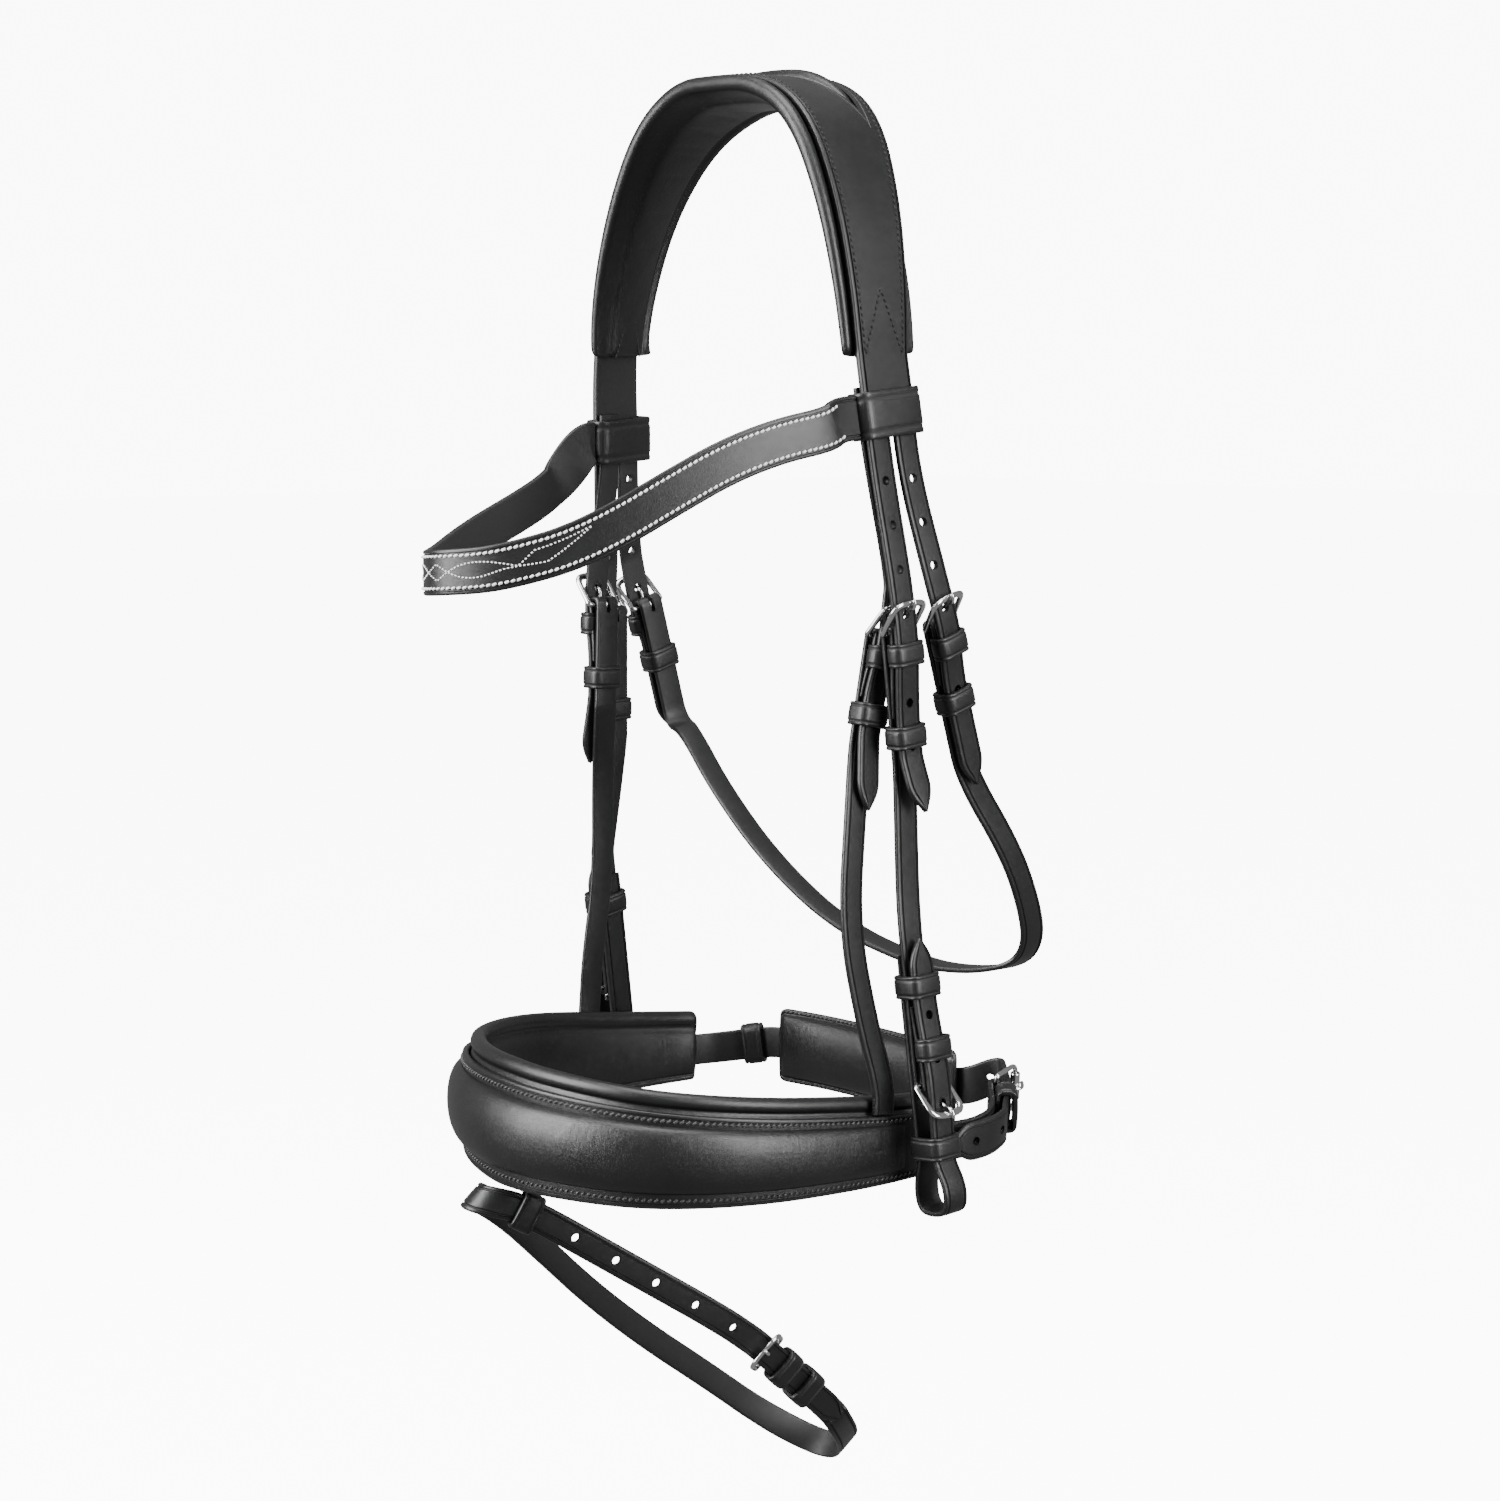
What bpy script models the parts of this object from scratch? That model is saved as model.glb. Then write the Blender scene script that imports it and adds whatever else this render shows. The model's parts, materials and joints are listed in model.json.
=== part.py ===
"""Horse bridle with a padded crank noseband and a flash strap.

World frame: metres, +Z up. The origin is the middle of the crown pad's underside, where the bridle
hangs on the poll. +X is the horse's left, its near side, and -Y is the horse's nose.
"""
from math import acos, cos, pi, radians, sin

import bmesh
import bpy
from mathutils import Vector

for old in list(bpy.data.objects):
    bpy.data.objects.remove(old, do_unlink=True)

mm = 0.001

# Driving sizes of the whole bridle
HALF_WIDTH = 96.0 * mm       # middle plane to the heel bars of the cheek buckles
REACH = 184.0 * mm           # cheek straps' plane to the front of the browband
DROP = 485.0 * mm            # poll to below the near bit loop

# Straps
STRAP_W = 13.0 * mm
HANGER_W = 12.0 * mm
CRANK_W = 17.0 * mm
STRAP_T = 2.4 * mm
EDGE = 0.4 * mm              # bevel along a strap's edges
TIP_LENGTH = 13.0 * mm       # pointed strap end
SKIVED_T = 1.4 * mm          # a folded end, pared thin
HOLE_R = 2.2 * mm
HOLE_PITCH = 19.0 * mm
GAP = 0.3 * mm               # between pieces that touch
LIE_GAP = 0.7 * mm           # between a strap's tail and what it lies on

# Buckles
BAR_R = 1.2 * mm
TONGUE_R = 0.7 * mm
FRAME_RUN = 12.0 * mm        # heel bar to front bar, along the strap
FRAME_LIFT = 9.5 * mm        # how far the front bar stands off
FRAME_CORNER_R = 4.0 * mm
HEEL_CORNER_R = 1.6 * mm
FRAME_BOW = 1.2 * mm         # the front bar's bow
FRAME_SIDE_GAP = 1.1 * mm    # strap edge to the frame's side
SLOT_GAP = 0.4 * mm          # tongue to the sides of its slot

CHEEK_CHAPE = 36.0 * mm       # length of a strap end folded round a heel bar

# Keepers
KEEPER_L = 10.0 * mm
KEEPER_T = 1.5 * mm
KEEPER_GAP = 0.4 * mm
KEEPER_EDGE = 0.4 * mm
KEEPER_CORNER_R = 1.8 * mm

# Worked out from the sizes above
FOLD_R = BAR_R + GAP + STRAP_T / 2
TAIL_RISE = FOLD_R + STRAP_T + GAP
TAIL_LOW = -FOLD_R + STRAP_T + SKIVED_T + GAP + LIE_GAP
HOLE_AT = 0.67 * FRAME_RUN
SLOT_BACK = BAR_R + GAP + 2 * TONGUE_R + GAP + SLOT_GAP
KEEPER_TOP = TAIL_RISE + STRAP_T / 2 + KEEPER_GAP

# Smoothness
CHORD_ERROR = 0.35 * mm
MAX_TURN = radians(30)
MAX_TWIST = radians(15)

X_AXIS = Vector((1, 0, 0))
Y_AXIS = Vector((0, 1, 0))
Z_AXIS = Vector((0, 0, 1))


# Materials

def material(name, colour, roughness, metallic=0.0):
    made = bpy.data.materials.new(name)
    made.use_nodes = True
    shader = made.node_tree.nodes["Principled BSDF"]
    shader.inputs["Base Color"].default_value = (*colour, 1.0)
    shader.inputs["Roughness"].default_value = roughness
    shader.inputs["Metallic"].default_value = metallic
    made.diffuse_color = (*colour, 1.0)
    return made


LEATHER = material("black bridle leather", (0.018, 0.018, 0.019), 0.42)
SOFT_LEATHER = material("black soft leather", (0.014, 0.014, 0.015), 0.55)
STEEL = material("polished stainless steel", (0.78, 0.78, 0.80), 0.16, 1.0)


# Mesh helpers

def add_object(name, mesh_edit, look, origin=None):
    """Make one closed object, with its origin on its joint when it has one."""
    bmesh.ops.recalc_face_normals(mesh_edit, faces=mesh_edit.faces)
    place = Vector(origin) if origin is not None else Vector()
    bmesh.ops.translate(mesh_edit, verts=mesh_edit.verts, vec=-place)
    mesh = bpy.data.meshes.new(name)
    mesh_edit.to_mesh(mesh)
    mesh_edit.free()
    mesh.materials.append(look)
    made = bpy.data.objects.new(name, mesh)
    made.location = place
    bpy.context.scene.collection.objects.link(made)
    return made


def loft(rings, closed=False):
    """Skin a row of rings that have the same number of points. A closed loft joins end to start."""
    edit = bmesh.new()
    rows = [[edit.verts.new(point) for point in ring] for ring in rings]
    count = len(rows[0])
    pairs = list(zip(rows, rows[1:])) + ([(rows[-1], rows[0])] if closed else [])
    for low, high in pairs:
        for i in range(count):
            j = (i + 1) % count
            edit.faces.new((low[i], low[j], high[j], high[i]))
    if not closed:
        edit.faces.new(list(reversed(rows[0])))
        edit.faces.new(rows[-1])
    return edit


def combine(target, tool_edit, operation):
    """Join or cut a solid with another one, which is used up."""
    tool = add_object("tool", tool_edit, LEATHER)
    step = target.modifiers.new("step", "BOOLEAN")
    step.operation = operation
    step.solver = "EXACT"
    step.object = tool
    bpy.context.view_layer.update()
    evaluated = target.evaluated_get(bpy.context.evaluated_depsgraph_get())
    result = bpy.data.meshes.new_from_object(evaluated)
    target.modifiers.remove(step)
    old_mesh = target.data
    target.data = result
    result.name = target.name
    bpy.data.meshes.remove(old_mesh)
    bpy.data.objects.remove(tool, do_unlink=True)


def prism(outline, origin, first, second, along, reach):
    """A prism: outline in the plane of two directions, reaching both ways along the third."""
    rings = []
    for end in (-reach, reach):
        rings.append([origin + first * a + second * b + along * end for a, b in outline])
    return loft(rings)


def circle(radius, count, centre=(0.0, 0.0)):
    turn = 2 * pi / count
    return [(centre[0] + radius * cos(i * turn), centre[1] + radius * sin(i * turn))
            for i in range(count)]


def punch(target, places, axes, radius=HOLE_R, sides=8):
    """Punch round holes through a strap, all with one cutter."""
    cutter = bmesh.new()
    for place, axis in zip(places, axes):
        side = axis.orthogonal().normalized()
        other = axis.cross(side)
        hole = prism(circle(radius, sides), place, side, other, axis, 4 * STRAP_T)
        mesh = bpy.data.meshes.new("hole")
        hole.to_mesh(mesh)
        hole.free()
        cutter.from_mesh(mesh)
        bpy.data.meshes.remove(mesh)
    combine(target, cutter, "DIFFERENCE")


# Routes: a strap's middle line, with the direction of its width at each point

def lerp(a, b, share):
    return a + (b - a) * share


def smooth(points, rounds=4, closed=False):
    """Round off a polygon of points by cutting its corners. Straight runs stay straight."""
    for _ in range(rounds):
        cut = [] if closed else [points[0]]
        pairs = list(zip(points, points[1:])) + ([(points[-1], points[0])] if closed else [])
        for a, b in pairs:
            cut.append(tuple(lerp(p, q, 0.25) for p, q in zip(a, b)))
            cut.append(tuple(lerp(p, q, 0.75) for p, q in zip(a, b)))
        if not closed:
            cut.append(points[-1])
        points = cut
    return points


class Route:
    """A smooth middle line through corner points, each with the direction of the strap's width."""

    def __init__(self, corners, forced=(), chord_error=CHORD_ERROR):
        self.dense = smooth([(Vector(p), Vector(s)) for p, s in corners])
        self.lengths = [0.0]
        for (a, _), (b, _) in zip(self.dense, self.dense[1:]):
            self.lengths.append(self.lengths[-1] + (b - a).length)
        self.total = self.lengths[-1]
        self.chord_error = chord_error
        self.forced = [f if f >= 0 else self.total + f for f in forced]

    def sample(self, distance):
        """Point and width direction at a distance from the start."""
        distance = min(max(distance, 0.0), self.total)
        for i, end in enumerate(self.lengths[1:]):
            if end >= distance:
                span = end - self.lengths[i]
                share = (distance - self.lengths[i]) / span if span > 0 else 0.0
                (p, s), (q, r) = self.dense[i], self.dense[i + 1]
                return lerp(p, q, share), lerp(s, r, share)
        return self.dense[-1]

    def frame(self, distance):
        """Point, tangent, width direction and outward direction at a distance."""
        step = STRAP_T / 4
        point, side = self.sample(distance)
        ahead = self.sample(distance + step)[0]
        behind = self.sample(distance - step)[0]
        tangent = (ahead - behind).normalized()
        side = (side - tangent * side.dot(tangent)).normalized()
        return point, tangent, side, tangent.cross(side)

    def stations(self):
        """Distances where a section is needed: more of them where the strap bends or twists."""
        kept = [0.0]
        start = 0
        frames = [self.frame(d) for d in self.lengths]
        for i in range(1, len(self.lengths) - 1):
            a, b = self.dense[start][0], self.dense[i + 1][0]
            run = b - a
            worst = 0.0
            for j in range(start + 1, i + 1):
                off = self.dense[j][0] - a
                if run.length > 0:
                    off = off - run * (off.dot(run) / run.length_squared)
                worst = max(worst, off.length)
            turn = frames[start][1].angle(frames[i + 1][1], 0.0)
            twist = frames[start][2].angle(frames[i + 1][2], 0.0)
            bends = worst > self.chord_error or turn > MAX_TURN or twist > MAX_TWIST
            if bends and self.lengths[i] - kept[-1] > STRAP_T / 4:
                kept.append(self.lengths[i])
                start = i
        kept.append(self.total)
        for extra in self.forced:
            near = min(abs(extra - k) for k in kept)
            if near > STRAP_T / 4:
                kept.append(extra)
        return sorted(kept)


def strap_section(half_w, half_t, edge):
    """A flat strap's section with bevelled edges, as (width, outward) pairs."""
    w, t = half_w, half_t
    e = min(edge, w / 3, t / 2)
    return [(-w, -t + e), (-w + e, -t), (w - e, -t), (w, -t + e),
            (w, t - e), (w - e, t), (-w + e, t), (-w, t - e)]


TIP_SHARES = (0.0, 0.1, 0.3, 0.6, 1.0)


def tip_width(share):
    """Width of a pointed strap end, as a share of the strap's width."""
    return max(share, 0.012) ** 0.5 * (1.0 - 0.12 * (1.0 - share))


def strap(name, corners, width=STRAP_W, thick=STRAP_T, tip_start=False, tip_end=False,
          skive_start=0.0, skive_end=0.0, look=LEATHER, width_share=None, origin=None):
    """A flat leather strap along a route of corner points, with an optional pointed or pared end."""
    route = Route(corners)
    forced = []
    if tip_start:
        forced += [TIP_LENGTH * s for s in TIP_SHARES[1:]]
    if tip_end:
        forced += [route.total - TIP_LENGTH * s for s in TIP_SHARES[1:]]
    if skive_start:
        forced.append(skive_start)
    if skive_end:
        forced.append(route.total - skive_end)
    route.forced = forced
    rings = []
    for d in route.stations():
        point, _, side, out = route.frame(d)
        half_w, half_t = width / 2, thick / 2
        if width_share:
            half_w *= width_share(d / route.total)
        if tip_start and d < TIP_LENGTH:
            half_w *= tip_width(d / TIP_LENGTH)
        if tip_end and route.total - d < TIP_LENGTH:
            half_w *= tip_width((route.total - d) / TIP_LENGTH)
        if skive_start and d < skive_start:
            half_t = lerp(SKIVED_T, thick, d / skive_start) / 2
        if skive_end and route.total - d < skive_end:
            half_t = lerp(SKIVED_T, thick, (route.total - d) / skive_end) / 2
        rings.append([point + side * a + out * b for a, b in strap_section(half_w, half_t, EDGE)])
    return add_object(name, loft(rings), look, origin), route


# Round wire: buckle frames and tongues

def wire(points, radius, sides=6, closed=False, up=None):
    """A round wire along points. up is any direction that the wire never runs along."""
    rings = []
    count = len(points)
    for i, point in enumerate(points):
        before = points[i - 1] if i or closed else point
        after = points[(i + 1) % count] if i < count - 1 or closed else point
        tangent = (after - before).normalized()
        side = tangent.cross(up).normalized()
        other = side.cross(tangent)
        into, out = (point - before), (after - point)
        stretch = 1.0
        if into.length > 0 and out.length > 0:
            stretch = 1.0 / max(cos(into.angle(out, 0.0) / 2), 0.5)
        bend = (out.normalized() - into.normalized()) if stretch > 1.001 else Vector()
        ring = []
        for a, b in circle(radius, sides):
            offset = side * a + other * b
            if bend.length > 0:
                unit = bend.normalized()
                offset += unit * (offset.dot(unit) * (stretch - 1.0))
            ring.append(point + offset)
        rings.append(ring)
    return loft(rings, closed)


def round_corners(points, radii, steps=3):
    """A closed outline with its corners rounded by short curves."""
    result = []
    count = len(points)
    for i, corner in enumerate(points):
        before, after = points[i - 1], points[(i + 1) % count]
        r = radii[i]
        if r == 0:
            result.append(corner)
            continue
        a = corner + (before - corner).normalized() * r
        b = corner + (after - corner).normalized() * r
        for k in range(steps + 1):
            u = k / steps
            result.append(a * (1 - u) ** 2 + corner * 2 * u * (1 - u) + b * u ** 2)
    return result


# A seat is the place of one buckle: its heel bar, the way the tail comes from and outward

class Seat:
    def __init__(self, place, toward, out, width=STRAP_W, chape=CHEEK_CHAPE, bow=FRAME_BOW,
                 bar_r=BAR_R):
        self.place = Vector(place)
        self.t = Vector(toward).normalized()
        self.n = (Vector(out) - self.t * Vector(out).dot(self.t)).normalized()
        self.s = self.t.cross(self.n)
        self.width = width
        self.chape = chape
        self.bow = bow
        self.bar_r = bar_r       # what the tongue rests on at the front

    def at(self, t, n, s=0.0):
        return self.place + self.t * t + self.n * n + self.s * s

    def corner(self, t, n):
        """A route corner in this seat, for a strap whose width lies along the seat's side."""
        return (self.at(t, n), self.s)

    def tail(self, tip, keeper_at, stand=0.0, top=2.2 * FRAME_RUN):
        """Corners of a buckled tail, from above the frame, over the heel bar, to its tip."""
        rows = [(top, TAIL_RISE - STRAP_T / 2), (1.3 * FRAME_RUN, TAIL_RISE - STRAP_T / 4),
                (0.6 * FRAME_RUN, TAIL_RISE), (0.0, TAIL_RISE + GAP / 3),
                (-0.25 * self.chape, TAIL_RISE - GAP / 2),
                (keeper_at + KEEPER_L, TAIL_LOW), (keeper_at - 0.6 * KEEPER_L, TAIL_LOW),
                (keeper_at - KEEPER_L, TAIL_LOW), (-tip, TAIL_LOW + stand)]
        return [self.corner(t, n) for t, n in rows]

    def run(self, keeper_at):
        """Corners that keep a folded strap straight past its running keeper."""
        return [self.corner(keeper_at - share * KEEPER_L, -FOLD_R) for share in (0.9, 1.5)]

    def fold(self):
        """Corners of a strap end folded round the heel bar, from its pared end to the strap."""
        under = -FOLD_R
        skived = under + STRAP_T / 2 + GAP + SKIVED_T / 2
        shares = ((1.0, skived), (0.75, skived + 0.3 * SKIVED_T), (0.5, 0.3 * FOLD_R),
                  (0.25, 0.8 * FOLD_R))
        rows = [(-share * self.chape, n) for share, n in shares]
        steps = 6
        reach = FOLD_R / cos(pi / steps / 2)
        for k in range(steps):
            angle = pi / 2 - (k + 0.5) * pi / steps
            rows.append((reach * cos(angle), reach * sin(angle)))
        rows.append((-0.25 * self.chape, under))
        return [self.corner(t, n) for t, n in rows]

    def cut_slot(self, target):
        """Cut the tongue's slot through a folded strap end."""
        half = TONGUE_R + SLOT_GAP
        reach = 3 * FOLD_R
        low, high = -FOLD_R - STRAP_T, TAIL_RISE - STRAP_T / 2 - GAP / 2
        middle = self.at(0.0, (low + high) / 2)
        outline = [(reach, -half), (reach, half)]
        outline += [(-SLOT_BACK + half - half * sin(pi * k / 4), half * cos(pi * k / 4))
                    for k in range(5)]
        slot = prism(outline, middle, self.t, self.s, self.n, (high - low) / 2)
        combine(target, slot, "DIFFERENCE")

    def frame_half(self):
        return self.width / 2 + FRAME_SIDE_GAP + BAR_R

    def buckle(self, name):
        """A wire frame: heel bar, two sides that lift off the strap, and a bowed front bar."""
        w = self.frame_half()
        bow = self.bow
        outline = [self.at(0, 0, -w), self.at(0, 0, w), self.at(FRAME_RUN, FRAME_LIFT, w),
                   self.at(FRAME_RUN, FRAME_LIFT, -w)]
        radii = [HEEL_CORNER_R, HEEL_CORNER_R, FRAME_CORNER_R, FRAME_CORNER_R]
        if bow > 0:
            outline.insert(3, self.at(FRAME_RUN + bow, FRAME_LIFT + bow / 2))
            radii.append(FRAME_CORNER_R)
        points = round_corners(outline, radii)
        plane = (self.n * FRAME_RUN - self.t * FRAME_LIFT).normalized()
        return add_object(name, wire(points, BAR_R, closed=True, up=plane), STEEL)

    def tongue(self, name):
        """A pin whose eye rings the heel bar. It passes up the tail's hole onto the front bar."""
        ring = BAR_R + GAP + TONGUE_R
        steps = 6
        start, end = radians(-55), radians(-270)
        rows = [(ring * cos(a), ring * sin(a))
                for a in (lerp(start, end, k / steps) for k in range(steps + 1))]
        reach = 1.0 - 5 / 9 * FRAME_CORNER_R / self.frame_half()
        run, lift = FRAME_RUN + reach * self.bow, FRAME_LIFT + reach * self.bow / 2
        over = lift + self.bar_r + GAP + TONGUE_R
        rise_shares = ((0.40, 1.05), (0.79, 1.15), (0.95, 1.9), (1.02, 2.45), (1.09, 3.0))
        rows += [(HOLE_AT * a, ring * b) for a, b in rise_shares]
        bar = self.bar_r + 2 * GAP + TONGUE_R
        rows += [(run - 1.15 * bar, 0.84 * lift), (run - 1.05 * bar, lift + 0.25 * bar),
                 (run - 0.72 * bar, over - 0.1 * bar), (run, over + GAP),
                 (run + 1.5 * self.bar_r, over)]
        points = [self.at(t, n) for t, n in rows]
        return add_object(name, wire(points, TONGUE_R, up=self.s), STEEL, self.place)

    def keeper_rings(self, t, low, high):
        """Rings of a leather band round the strap. low and high are its inner faces."""
        half_w = self.width / 2 + KEEPER_GAP
        t_ends = (t - KEEPER_L / 2, t + KEEPER_L / 2)

        def outline(grow, along):
            w, lo, hi = half_w + grow, low - grow, high + grow
            corner = KEEPER_CORNER_R if grow else KEEPER_CORNER_R / 2
            points = [Vector((-w, lo, 0)), Vector((w, lo, 0)), Vector((w, hi, 0)),
                      Vector((-w, hi, 0))]
            rounded = round_corners(points, [corner] * 4, steps=1)
            return [self.at(along, p.y, p.x) for p in rounded]

        wall, e = KEEPER_T, KEEPER_EDGE
        return [outline(0, t_ends[0]), outline(wall - e, t_ends[0]), outline(wall, t_ends[0] + e),
                outline(wall, t_ends[1] - e), outline(wall - e, t_ends[1]), outline(0, t_ends[1])]

    def running_keeper(self, name, t, low=None, high=None):
        low = -FOLD_R - STRAP_T / 2 - KEEPER_GAP if low is None else low
        high = TAIL_LOW + STRAP_T / 2 + 2 * KEEPER_GAP if high is None else high
        edit = loft(self.keeper_rings(t, low, high), closed=True)
        return add_object(name, edit, LEATHER, self.at(t, (low + high) / 2))

    def sew_keeper(self, target, t, low=None, high=None):
        """Join a fixed keeper to the folded end, round the tail."""
        low = self.fold_height(t) - STRAP_T / 6 if low is None else low
        high = KEEPER_TOP if high is None else high
        combine(target, loft(self.keeper_rings(t, low, high), closed=True), "UNION")

    def fold_height(self, t):
        """Height of the folded layer's middle near the heel bar."""
        return lerp(FOLD_R, 0.8 * FOLD_R, min(1.0, -t / (0.25 * self.chape)))


# Places are written as shares of the half width, the reach and the drop

def spot(shares):
    x, y, z = shares
    return Vector((x * HALF_WIDTH, y * REACH, z * DROP))


def corners(rows, side):
    """Route corners from rows of shares, all with one width direction."""
    return [(spot(row), Vector(side)) for row in rows]


def unit(x, y, z):
    return Vector((x, y, z)).normalized()


SIDES = {"near": 1, "far": -1}

# Headpiece
CROWN_T = 3.0 * mm
CROWN_POLL_W = 46.0 * mm
CROWN_END_W = 29.0 * mm
PAD_T = 9.5 * mm
PAD_END_T = 5.0 * mm
PAD_EDGE_T = 3.0 * mm
PAD_REAR = 2.0 * mm          # the pad's rear edge beyond the crown leather
PAD_ROLL_R = 4.2 * mm
PAD_END_ROLL_R = 2.4 * mm
DOME_ROOM = 1.6 * mm         # clear round the dome in the lens opening
CROWN_STEP = 12.0 * mm
LENS_L = 104.0 * mm
LENS_W = 15.0 * mm
LENS_BACK = 9.0 * mm
DOME_RISE = 6.5 * mm
PAD_END = 0.226 * DROP
CROWN_SHARES = {
    "near": ((0.24, 0.0, -0.001, 0.0), (0.49, -0.022, -0.028, 0.0), (0.67, -0.044, -0.092, 0.0),
             (0.79, -0.060, -0.165, 0.0), (0.845, -0.064, -0.226, 0.0), (0.870, -0.052, -0.275, 0.0)),
    "far": ((-0.23, 0.0, -0.001, 0.0), (-0.46, -0.022, -0.030, 0.18), (-0.65, -0.044, -0.092, 0.30),
            (-0.775, -0.060, -0.165, 0.27), (-0.830, -0.064, -0.226, 0.2), (-0.850, -0.054, -0.303, 0.15))}


def crown_route():
    """The pad's underside, from the near end over the poll to the far end. A row's last share is
    how far that leg's front edge turns inwards."""
    legs = {}
    for name, sign in SIDES.items():
        legs[name] = [(spot(row[:3]), -Y_AXIS - X_AXIS * sign * row[3]) for row in CROWN_SHARES[name]]
    return Route(list(reversed(legs["near"])) + [(spot((0.0, 0.0, 0.0)), -Y_AXIS)] + legs["far"])


def crown_shape(route, d):
    """How near a point of the crown is to its ends: 0 at the poll, 1 at the pad's end and beyond."""
    point = route.sample(d)[0]
    return min(1.0, max(0.0, -point.z / PAD_END))


def pad_thickness(share):
    return lerp(PAD_T, PAD_END_T, share ** 2)


def build_crown():
    route = crown_route()
    count = round(route.total / CROWN_STEP)
    route.forced = [route.total * k / count for k in range(1, count)]
    stations = route.stations()
    rings = []
    for d in stations:
        point, _, side, out = route.frame(d)
        share = crown_shape(route, d)
        half_w = lerp(CROWN_POLL_W, CROWN_END_W, share ** 0.8) / 2
        lift = pad_thickness(share) + 2 * GAP + CROWN_T / 2
        ring = [point + side * a + out * (lift + b)
                for a, b in strap_section(half_w, CROWN_T / 2, EDGE)]
        rings.append(ring)
    crown = add_object("crown_leather", loft(rings), LEATHER)
    outline = []
    steps = 10
    for edge in (1, -1):
        for k in range(steps):
            u = edge * (-1 + 2 * k / steps)
            outline.append((u * LENS_L / 2, edge * -(1 - u * u) * LENS_W / 2 + LENS_BACK))
    middle = Z_AXIS * (PAD_T + GAP)
    combine(crown, prism(outline, middle, X_AXIS, Y_AXIS, Z_AXIS, 5 * PAD_T), "DIFFERENCE")
    build_pad(route)
    return route


def lens_half(x):
    """Half width of the poll dome, which fills the crown's lens opening, at a place across it."""
    u = x / (0.42 * LENS_L)
    return max(0.0, 1 - u * u) * (LENS_W / 2 - DOME_ROOM)


DOME_SHARES = ((-1.0, 0.0), (-0.55, 0.8), (0.0, 1.0), (0.55, 0.8), (1.0, 0.0))


def build_pad(route):
    """The lining pad: flat on the poll, thin at the rear edge, with a roll along its front edge."""
    low = next(d for d in route.lengths if -route.sample(d)[0].z < PAD_END)
    high = next(d for d in reversed(route.lengths) if -route.sample(d)[0].z < PAD_END)
    inset = PAD_END_T / 2
    middle = [d for d in route.stations() if low + 2 * inset < d < high - 2 * inset]
    rings = []
    for d in [low, low + inset] + middle + [high - inset, high]:
        point, _, side, out = route.frame(d)
        share = crown_shape(route, d)
        crown_w = lerp(CROWN_POLL_W, CROWN_END_W, share ** 0.8) / 2
        rear = crown_w + PAD_REAR
        thick = pad_thickness(share)
        closing = 0.55 if d in (low, high) else 1.0
        roll = lerp(PAD_ROLL_R, PAD_END_ROLL_R, share) * closing
        mid = thick / 2
        face = mid + mid * closing - 2 * GAP
        top = [(-rear, mid + (min(PAD_EDGE_T, thick) - mid) * closing), (-crown_w, face - GAP)]
        half = lens_half((point + out * face).x)
        for a, b in DOME_SHARES:
            rise = DOME_RISE * b * (2 * half / LENS_W) ** 0.5
            top.append((a * max(half, DOME_ROOM) + point.y - LENS_BACK, face + rise))
        centre = crown_w + 2 * GAP + roll
        top.append((crown_w - GAP, face))
        bead = [(centre + roll * cos(radians(k)), face + roll * sin(radians(k)))
                for k in (180, 135, 90, 45, 0, -50)]
        under = [(0.45 * crown_w, mid * (1 - closing)), (-0.75 * rear, mid * (1 - closing))]
        rings.append([point + side * a + out * b for a, b in top + bead + under])
    add_object("crown_pad", loft(rings), SOFT_LEATHER)


# Buckled straps at each side of the head

SHORT_CHAPE = 26.0 * mm
BIT_CHAPE = 34.0 * mm
FIXED_KEEPER_AT = -8.8 * mm
BIT_FIXED_KEEPER_AT = -15.5 * mm
CHEEK_KEEPER_AT = -44.5 * mm
HANGER_KEEPER_AT = -33.5 * mm
THROAT_KEEPER_AT = {"near": -34.5 * mm, "far": -26.5 * mm}
THROAT_CHAPE = {"near": 26.0 * mm, "far": 21.0 * mm}
BIT_KEEPER_AT = -42.5 * mm
CHEEK_TIP = 77.0 * mm
TIP_STAND = {"cheek": 6.0 * mm, "throat": 0.0 * mm, "noseband": 6.0 * mm}
HANGER_TIP = 74.0 * mm
THROAT_TIP = {"near": 74.0 * mm, "far": 62.0 * mm}
BIT_TIP = 63.0 * mm
BIT_LOOP_L = 56.0 * mm
BIT_LOOP_HALF = 8.6 * mm
LOOP_KEEPER_AT = 27.5 * mm
BILLET_START = 56.0 * mm

CHEEK_SEAT_SHARES = {"near": (1.0, -0.052, -0.465), "far": (-1.0, -0.040, -0.470)}
THROAT_SEAT_SHARES = {"near": (1.0, 0.083, -0.460), "far": (-1.03, 0.090, -0.463)}
HANGER_Y_SHARES = {"near": -0.040, "far": -0.126}
HANGER_Z_SHARES = {"near": -0.471, "far": -0.458}
BIT_SEAT_SHARES = {"near": (1.167, -0.023, -0.8625), "far": (-1.15, 0.018, -0.838)}
CHEEK_BEND_SHARES = {"near": (1.03, -0.030, -0.69), "far": (-1.0, -0.072, -0.69)}
CHEEK_LEAN = {"near": -0.10, "far": -0.02}
THROAT_LEAN = {"near": -0.31, "far": -0.28}
BIT_LEAN = {"near": 0.05, "far": 0.2}
HANGER_INSET = KEEPER_TOP + KEEPER_T + GAP + FOLD_R + STRAP_T / 2


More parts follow.
